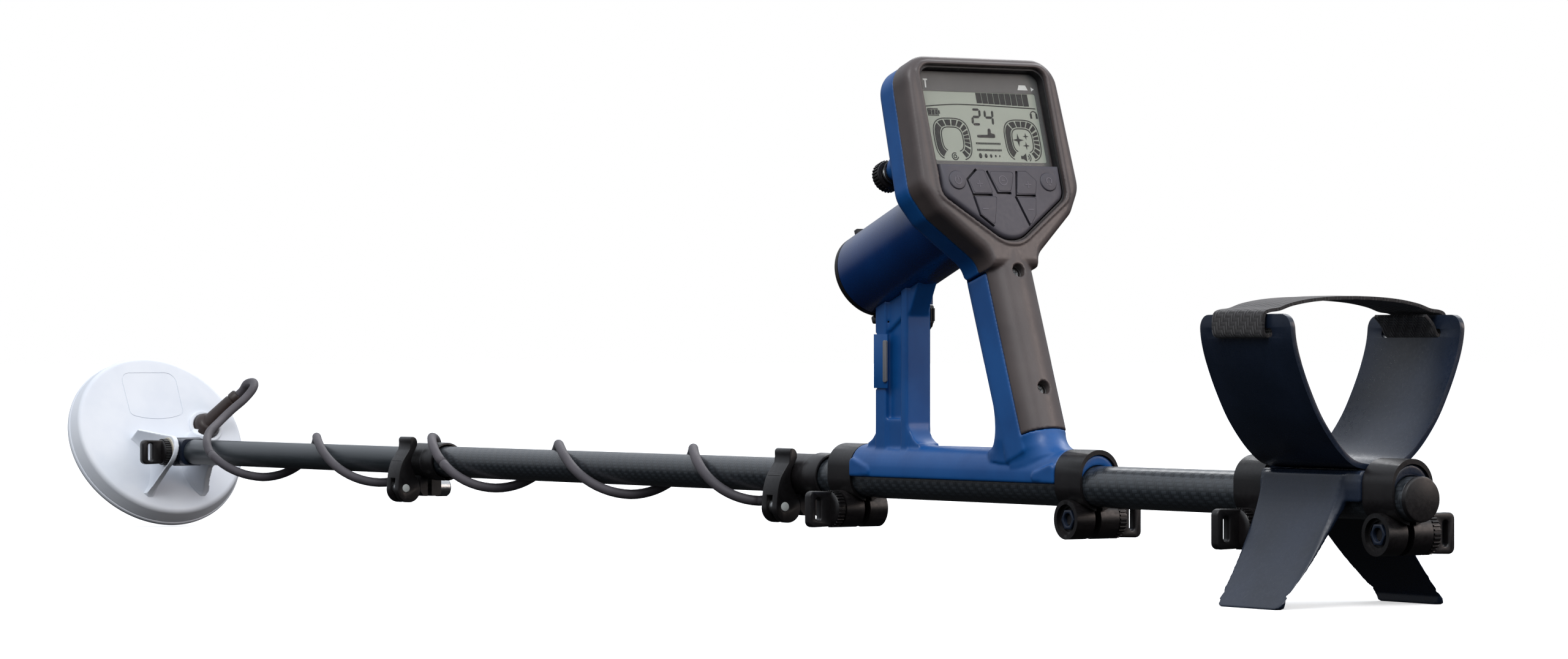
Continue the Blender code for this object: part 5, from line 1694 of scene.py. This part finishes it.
def keySigns(name):
    # the sign on a key, as lines on the pod's face
    plus = lambda x, y: [[(x - 2.0, y), (x + 2.0, y)], [(x, y - 2.0), (x, y + 2.0)]]
    signs = {
        "key_power": [arc((-30.4, -13.9), 2.1, 120, 420, 18), [(-30.4, -13.7), (-30.4, -11.0)]],
        "key_light": [arc((30.4, -13.2), 1.7, -50, 230, 16), [(29.6, -15.6), (31.2, -15.6)]],
        "key_mode": [arc((0, -13.3), 2.6, 0, 360, 24), [(-1.2, -13.3), (1.2, -13.3)]],
        "key_left_plus": plus(-15.9, -15.4),
        "key_right_plus": plus(16.4, -15.4),
        "key_left_minus": [[(-17.0, -29.8), (-13.0, -29.8)]],
        "key_right_minus": [[(13.2, -29.8), (17.2, -29.8)]],
    }
    return signs[name]


def domed(outline, low, high, edge=0.7):
    levels = [
        (low, 0.0), (high - edge, 0.0), (high - 0.45 * edge, 0.25 * edge), (high - 0.1 * edge, 0.8 * edge),
        (high, 1.8 * edge),
    ]
    return shelled(outline, levels)


def makeKeypad():
    k = keyPad
    outline = [(x, min(y, -3.4)) for x, y in faceOutline(1.1, 14)]
    outline = [p for i, p in enumerate(outline) if p != outline[i - 1]]
    levels = [
        (-1.7, 1.0), (-1.7 + 2.0, 1.0), (2.6, 1.0), (3.8, 1.25), (4.6, 1.9), (5.2, 3.0), (5.5, 4.6),
        (5.6, 7.0),
    ]
    rings = []
    for height, inset in levels:
        scale = 1 - inset * 0.022
        rings.append([(x * scale, -21 + (y + 21) * scale, height) for x, y in outline])
    pad = lump(skin(rings), pod)
    for line in grooves:
        outline = strokes([line], k["groove"])[0]
        cut(pad, prism(outline, 3.4, 20), pod)
    floor = k["lift"] - 2.6
    low = floor + k["travel"] + 0.2
    for x, y in roundKeys.values():
        cut(pad, turned(discProfile(5.45, floor, 20), 56), pod @ Matrix.Translation((x, y, 0)))
    for corners in padKeys.values():
        x = sum(c[0] for c in corners) / len(corners)
        y = sum(c[1] for c in corners) / len(corners)
        grownKey = [(x + (cx - x) * 1.015, y + (cy - y) * 1.015, r) for cx, cy, r in corners]
        cut(pad, prism(rounded(grownKey, 5), floor, 20), pod)
    piece("keypad", pad, "shaft", look["keys"], ["keypad"])
    # dark strips on the groove floors: painted shade for the grooves' depth
    paintedGrooveShade = lump(flats(strokes(grooves, k["groove"] + 0.1), 3.3, 3.7), pod)
    piece("keyGrooveShade", paintedGrooveShade, "shaft", look["groove"])
    for name, (x, y) in roundKeys.items():
        tall = k["roundTall"]
        edge = [(5.3, low), (5.3, low + tall - 0.7), (4.9, low + tall - 0.25), (3.9, low + tall - 0.05)]
        key = lump(turned([(0, low)] + edge + [(0, low + tall)], 56), pod @ Matrix.Translation((x, y, 0)))
        makeKey(name, key, low + tall)
    for name, corners in padKeys.items():
        key = lump(domed(rounded(corners, 6), low, low + k["capTall"], 0.18), pod)
        for line in grooves:
            cut(key, prism(strokes([line], k["groove"])[0], 3.4, 20), pod)
        makeKey(name, key, low + k["capTall"])


def makeKey(name, key, top):
    words = name.split("_")
    title = words[0] + "".join(w.title() for w in words[1:])
    piece(title, key, name, look["keys"], [name])
    sign = lump(flats(strokes(keySigns(name), 0.5), top - 0.3, top + 0.14), pod)
    piece(title + "Sign", sign, name, look["sign"])


makeFrontCover()
makePodBack()
makeDisplay()
makeKeypad()
print("pod made")

# The battery housing and what is on the post


def makeBattery():
    b = batterySizes
    r, cap = b["radius"], b["cap"]
    inner = r - b["wall"]
    profile = ringProfile(inner, r, cap + 0.3, b["long"] + 8, 0.5)
    tube = lump(turned(profile, 112), housing)
    cut(tube, slab((-70, -75, podSizes["back"] - 0.3), (70, 80, 40)), pod)
    station, y = b["plug"]
    boss = Matrix.Translation(onShaft(station, y))
    join(tube, turned(discProfile(6.4, 98.5, 112), 48), boss)
    cut(tube, turned(discProfile(inner, cap, b["long"] + 20), 96), housing)
    piece("batteryHousing", rounding(tube, 0.4), "shaft", look["navy"], ["battery_housing"])
    dress("battery_pack", look["black"])
    face = [
        (0, 0.5), (15.5, 0.5), (16.0, 0), (r - 1.9, 0), (r - 0.7, 0.4), (r, 1.3), (r, cap),
        (inner - 0.3, cap), (inner - 0.3, 8),
        (inner - 2, 8), (inner - 2, 6), (0, 6),
    ]
    lid = lump(turned(face, 112), housing)
    hinge = -r - 1.8
    join(lid, slab((hinge - 1.6, -5, cap - 3.4), (hinge + 3.4, 5, cap - 0.2)), housing)
    piece("batteryCap", rounding(lid, 0.3), "battery_cap", look["black"], ["battery_cap"])
    catch = rounded([
        (0.6, -3.2, 1), (5.2, -3.2, 1.6), (5.2, 9.5, 1.6), (2.6, 9.5, 0.8), (2.6, -0.2, 0), (0.6, -0.2, 0),
    ], 5)
    place = housing @ Matrix.Translation((r, 0, cap + 1.0))
    latch = plainMesh(rounding(lump(sideView(catch, -6.5, 6.5), place), 0.4))
    values = {"Count": 3, "Step": (0, 0, 1.9), "Bar": (0.7, 10.0, 0.8), "Finish": look["black"]}
    ribs = grown("row", values, place @ Matrix.Translation((5.2, 0, 4.6)), 0.15)
    piece(
        "batteryLatch", merged([latch, ribs]), "battery_latch", look["black"],
        ["battery_latch"],
    )


def makeDoorAndPlug():
    h = handle
    low, high = h["door"][0] + 0.3, h["door"][1] - 0.3
    near = -2 * h["postHalf"] - 0.1
    hinge = Matrix.Translation(onShaft(h["postFront"] - 1.0, h["postHalf"] - 0.8))
    door = lump(slab((-1.0, near, low), (0.5, -0.2, high)), hinge)
    join(door, slab((-0.8, near, low), (12.6, near + 0.6, high)), hinge)
    piece("portDoor", rounding(door, 0.3), "port_door", look["blue"], ["port_door"])
    tab = rounded([
        (9.3, low + 3.4, 1), (12.9, low + 3.4, 1), (12.9, high - 3.4, 1), (9.3, high - 3.4, 1),
    ], 5)
    pull = lump(sideView(tab, near - 1.0, near + 0.3), hinge)
    piece("doorPull", rounding(pull, 0.35), "port_door", look["pullGrey"])
    station, y = batterySizes["plug"]
    place = Matrix.Translation(onShaft(station, y))
    shape = [
        (0, 83.5), (4.2, 83.5), (4.8, 84.2), (6.2, 86.2), (6.6, 88), (7.0, 88.4), (7.0, 97.2), (6.4, 98.2),
        (0, 98.2),
    ]
    body = plainMesh(lump(turned(shape, 56), place))
    values = {"Count": 26, "Radius": 7.0, "Tooth": (1.0, 0.9, 7.4), "Finish": look["black"]}
    teeth = grown("teeth", values, place @ Matrix.Translation((0, 0, 92.8)))
    piece("coilPlug", merged([body, teeth]), "shaft", look["black"], ["coil_plug"])


makeBattery()
makeDoorAndPlug()
print("battery housing made")

# The arm cuff, its strap and its stand

cuffSizes = {
    "ends": (33.3, 105.3), "wall": 2.8,
    "curve": [
        (0, 13.6), (8, 14.0), (16.5, 16.3), (24, 21.8), (31, 29.2), (38.2, 39.0), (44, 49.6), (49, 60.5),
        (52.8, 71),
        (54.8, 80), (55.4, 90.2),
    ],
}
strapSizes = {
    "ends": (51.0, 91.0), "thick": 1.7,
    "curve": [
        (45, 90.0), (49.6, 85.8), (51.4, 82.2), (53.4, 80.1), (56.2, 79.95), (57.7, 81.6), (58.0, 86.0),
        (57.2, 90.6), (54.0, 92.2), (48.0, 93.0), (40, 95.4), (28, 97.4), (14, 98.5), (0, 98.9),
    ],
}


def offsetLeft(curve, offset):
    out = []
    for i, point in enumerate(curve):
        along = (Vector(curve[min(i + 1, len(curve) - 1)]) - Vector(curve[max(i - 1, 0)])).normalized()
        out.append((point[0] - along.y * offset, point[1] + along.x * offset))
    return out


def cuffHalf(offset):
    curve = [tuple(p) for p in smoothLine(cuffSizes["curve"], 5)]
    return [(0.0, curve[0][1] + offset)] + offsetLeft(curve, offset)[1:]


def makeCuff():
    c = cuffSizes
    rear, front = c["ends"]
    outer, inner = cuffHalf(0), cuffHalf(c["wall"])
    loop = outer + inner[::-1] + [(-y, z) for y, z in inner[1:]] + [(-y, z) for y, z in reversed(outer[1:])]
    cuff = lump(section(loop, -front, -rear), shaft)
    top = outer[-1][1]
    cut(cuff, sideView(rounded([
        (-94, 79.0, 2), (-48, 79.0, 2), (-48, 83.4, 2), (-94, 83.4, 2),
    ], 6), -70, 70), shaft)
    for end, way in ((-rear, -1), (-front, 1)):
        corner = 7.0
        curve = arc((end + way * corner, top - corner), corner, 90, 90 + way * 90, 10)
        nib = [
            (end - way * 2, top + 2), (end + way * corner, top + 2),
        ] + curve + [(end - way * 2, top - corner)]
        cut(cuff, sideView(nib, -70, 70), shaft)
    piece("armCuff", rounding(cuff, 0.8, 3), "cuff", look["cuff"], ["arm_cuff"])


def makeStrap():
    s = strapSizes
    rear, front = s["ends"]
    half = [tuple(p) for p in smoothLine(s["curve"], 6)]
    line = half + [(-y, z) for y, z in reversed(half[:-1])]
    outer, inner = offsetLeft(line, -s["thick"] / 2), offsetLeft(line, s["thick"] / 2)
    columns = 20
    bm = bmesh.new()
    cloth = bm.loops.layers.uv.new("cloth")
    lengths = [0.0]
    for a, b in zip(line, line[1:]):
        lengths.append(lengths[-1] + (Vector(b) - Vector(a)).length)
    grids = []
    for side in (outer, inner):
        rows = []
        for i, (y, z) in enumerate(side):
            row = []
            for k in range(columns + 1):
                t = k / columns
                pull = 0.25 * cos((t - 0.5) * pi * 2) * sin(pi * i / (len(side) - 1))
                row.append(bm.verts.new((-front + (front - rear) * t, y, z - 0.1 + 0.6 * pull)))
            rows.append(row)
        grids.append(rows)

    def quad(corners, places):
        face = bm.faces.new(corners)
        for loop, (u, v) in zip(face.loops, places):
            loop[cloth].uv = (u, v)

    wide = front - rear
    for rows, flip in zip(grids, (1, -1)):
        for i in range(len(line) - 1):
            for k in range(columns):
                corners = [rows[i][k], rows[i][k + 1], rows[i + 1][k + 1], rows[i + 1][k]]
                u0, u1 = wide * k / columns, wide * (k + 1) / columns
                places = [(u0, lengths[i]), (u1, lengths[i]), (u1, lengths[i + 1]), (u0, lengths[i + 1])]
                quad(corners[::flip], places[::flip])
    for k in (0, columns):
        for i in range(len(line) - 1):
            corners = [grids[0][i][k], grids[0][i + 1][k], grids[1][i + 1][k], grids[1][i][k]]
            quad(corners, [
                (0, lengths[i]), (0, lengths[i + 1]), (s["thick"], lengths[i + 1]),
                (s["thick"], lengths[i]),
            ])
    for i in (0, len(line) - 1):
        for k in range(columns):
            corners = [grids[0][i][k], grids[0][i][k + 1], grids[1][i][k + 1], grids[1][i][k]]
            quad(corners, [
                (wide * k / columns, 0), (wide * (k + 1) / columns, 0), (wide * (k + 1) / columns, 1),
                (wide * k / columns, 1),
            ])
    bmesh.ops.recalc_face_normals(bm, faces=bm.faces)
    strap = piece("cuffStrap", lump(bm, shaft), "cuff", look["webbing"], ["cuff_strap"], 50)


def legRing(y, z, lean, thick, front, rear):
    dy, dz = thick * cos(lean), thick * sin(lean)
    corners = [(-front, 0.4), (-front + 3.0, 0), (-rear - 3.0, 0), (-rear, 0.4), (-rear, 1), (-front, 1)]
    return [(x, y - deep * dy, z - deep * dz) for x, deep in corners]


def makeStand():
    frontRing, rearRing = 121.0 - 11.8, 19.0 + 11.8
    half = [(14.4, -2.0), (14.6, 4.0), (14.4, 8.0), (13.6, 11.6), (12.4, 13.6), (0, 13.2)]
    stand = lump(section(saddle(half), -frontRing, -rearRing), shaft)
    join(stand, section(tongue(), -131.5, -8.5), shaft)
    stations = [
        (15.2, 12.0, 0, 8.0, 108, 40), (19.0, -3.0, -14, 8.0, 108, 42), (27.5, -19.5, -28, 6.6, 105, 43.5),
        (38.5, -36.0, -36, 5.6, 101, 44), (52.6, 1.6 - axisZ, -42, 5.0, 96, 44.5),
    ]
    stations = [tuple(p) for p in (smoothStations(stations, 6))]
    foot = [(53.9, -axisZ, -30, 6.0, 95.4, 44.6)]
    for hand in (-1, 1):
        rings = [legRing(y, z, radians(lean), t, f, r) for y, z, lean, t, f, r in stations + foot]
        rings[-1] = [(x, y, -axisZ) for x, y, _ in rings[-1]]
        join(stand, skin([[(x, hand * y, z) for x, y, z in one] for one in rings]), shaft)
        for corner, way in ((-94.6, 1), (-45.0, -1)):
            low = -axisZ
            nib = [
                (corner - way * 3, low - 1), (corner + way * 3.2, low - 1),
            ] + arc((corner + way * 3.2, low + 3.2), 3.2, 270, 270 - way * 90, 6)
            nib += [(corner - way * 3, low + 3.4)]
            cut(stand, sideView(nib, *sorted((hand * 40, hand * 66))), shaft)
    seat = cuffHalf(-0.3) + [(60, 120), (-60, 120)] + [(-y, z) for y, z in reversed(cuffHalf(-0.3)[1:])]
    cut(stand, section(seat, -112, -28), shaft)
    cut(stand, alongX(discProfile(handle["tubeR"], 0, 138), 72), Matrix.Translation(onShaft(140)))
    piece("cuffStand", softened(stand, 0.75, 3), "cuff", look["cuff"], ["cuff_stand"], 60)


def smoothStations(stations, steps):
    out = []
    ends = [stations[0]] + stations + [stations[-1]]
    for a, b, c, d in zip(ends, ends[1:], ends[2:], ends[3:]):
        for k in range(steps):
            t = k / steps
            row = []
            for p, q, r, s in zip(a, b, c, d):
                row.append(0.5 * (2 * q + (r - p) * t + (2 * p - 5 * q + 4 * r - s) * t ** 2 + (3 * q - p - 3 * r + s) * t ** 3))
            out.append(row)
    out.append(stations[-1])
    return out


makeCuff()
makeStrap()
makeStand()
print("cuff made")

# The coil lead, wound round the shaft from the gland to the plug

leadSizes = {
    "radius": 3.0,
    "sag": 0.5,
    "loop": [
        (1385.0, 57.5, 48.5), (1374.0, 57.5, 49.5), (1364.0, 52.0, 45.0), (1358.0, 42.0, 37.5),
        (1351.0, 28.0, 29.5),
        (1341.0, 13.0, 21.0), (1327.0, -1.0, 14.5), (1311.0, -11.0, 8.0),
    ],
    "podRun": [
        (588, 7.0, -14.0), (577, 12.8, -9.0), (565, 16.2, -4.0), (550, 17.2, -1.0), (520, 17.5, 1.0),
        (495, 17.8, 1.5),
        (475, 17.6, 5.0), (461, 17.2, 16.0), (456, 16.9, 34.0), (455.8, 16.8, 60.0), (455.8, 16.8, 84.0),
    ],
}
nearSide, under = (1296.0, 90, 14.6), (600.0, 1620, 15.4)
lockFar, lockNear = (1034.0, 630, 15.6), (957.0, 810, 15.2)
windings = {
    "leadLower": [nearSide, (1245, 180, 15.2), (1164, 360, 14.0), (1073, 540, 15.2), lockFar],
    "leadLock": [lockFar, (1014, 675, 16.2), (1000, 720, 16.2), (978, 765, 16.2), lockNear],
    "leadMiddle": [
        lockNear, (915, 900, 15.2), (835, 1080, 14.2), (747, 1260, 15.2), (674, 1440, 14.2), under,
    ],
}


def wrapped(turns, perTurn=40):
    knots = []
    for (s0, a0, r0), (s1, a1, r1) in zip(turns, turns[1:]):
        steps = max(1, round((a1 - a0) / 360 * perTurn))
        for k in range(steps):
            t = k / steps
            knots.append((s0 + (s1 - s0) * t, a0 + (a1 - a0) * t, r0 + (r1 - r0) * t))
    knots.append(turns[-1])
    return [onShaft(s, -r * sin(radians(a)), r * cos(radians(a)) - leadSizes["sag"]) for s, a, r in knots]


def makeLead():
    c = searchCoil
    aim = Vector(c["glandAim"]).normalized()
    seat = Vector((c["middle"][0] + c["glandSeat"][0], c["glandSeat"][1], c["middle"][2] + 4.0))
    leave = coil @ (seat + aim * (c["glandLong"] - 2.0))
    ahead = coil @ (seat + aim * (c["glandLong"] + 4.6))
    loop = [leave, ahead] + [
        onShaft(*knot)
        for knot in leadSizes["loop"]
    ] + wrapped([(1301.0, 80, 14.4), nearSide])
    runs = {"leadLoop": smoothLine(loop, 8)}
    runs.update({name: wrapped(turns) for name, turns in windings.items()})
    runs["leadPod"] = smoothLine(wrapped([under]) + [onShaft(*knot) for knot in leadSizes["podRun"]], 8)
    riders = {
        "leadLoop": None, "leadLower": "middle", "leadLock": "middle", "leadMiddle": "shaft",
        "leadPod": "shaft",
    }
    nodes = {
        "leadLoop": "loop", "leadLower": "lower", "leadLock": "lock", "leadMiddle": "middle",
        "leadPod": "pod",
    }
    made = {}
    for name, path in runs.items():
        mesh = plainMesh(lump(bar(path, leadSizes["radius"], 20)))
        made[name] = leadPiece(name, mesh, riders[name], "coil_lead_" + nodes[name])
    loopEnd = onShaft(1341.0, 13.0, 21.0) * toMetres
    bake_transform(made["leadLoop"], "coil", "lower", start=tuple(ahead * toMetres), end=tuple(loopEnd))
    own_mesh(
        made["leadLower"], "lower_slide", axis=(1, 0, 0), anchor=tuple(onShaft(1034.0) * toMetres),
        keep=0.237,
    )
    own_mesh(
        made["leadMiddle"], "middle_slide", axis=(1, 0, 0), anchor=tuple(onShaft(600.0) * toMetres),
        keep=0.16,
    )


def leadPiece(name, mesh, body, node):
    mesh.name = name
    mesh.transform(Matrix.Scale(toMetres, 4))
    mesh.materials.append(look["lead"])
    mesh.shade_smooth()
    made = bpy.data.objects.new(name, mesh)
    bpy.context.scene.collection.objects.link(made)
    if body:
        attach(made, body)
    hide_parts(node)
    return made


makeLead()
print("lead made")
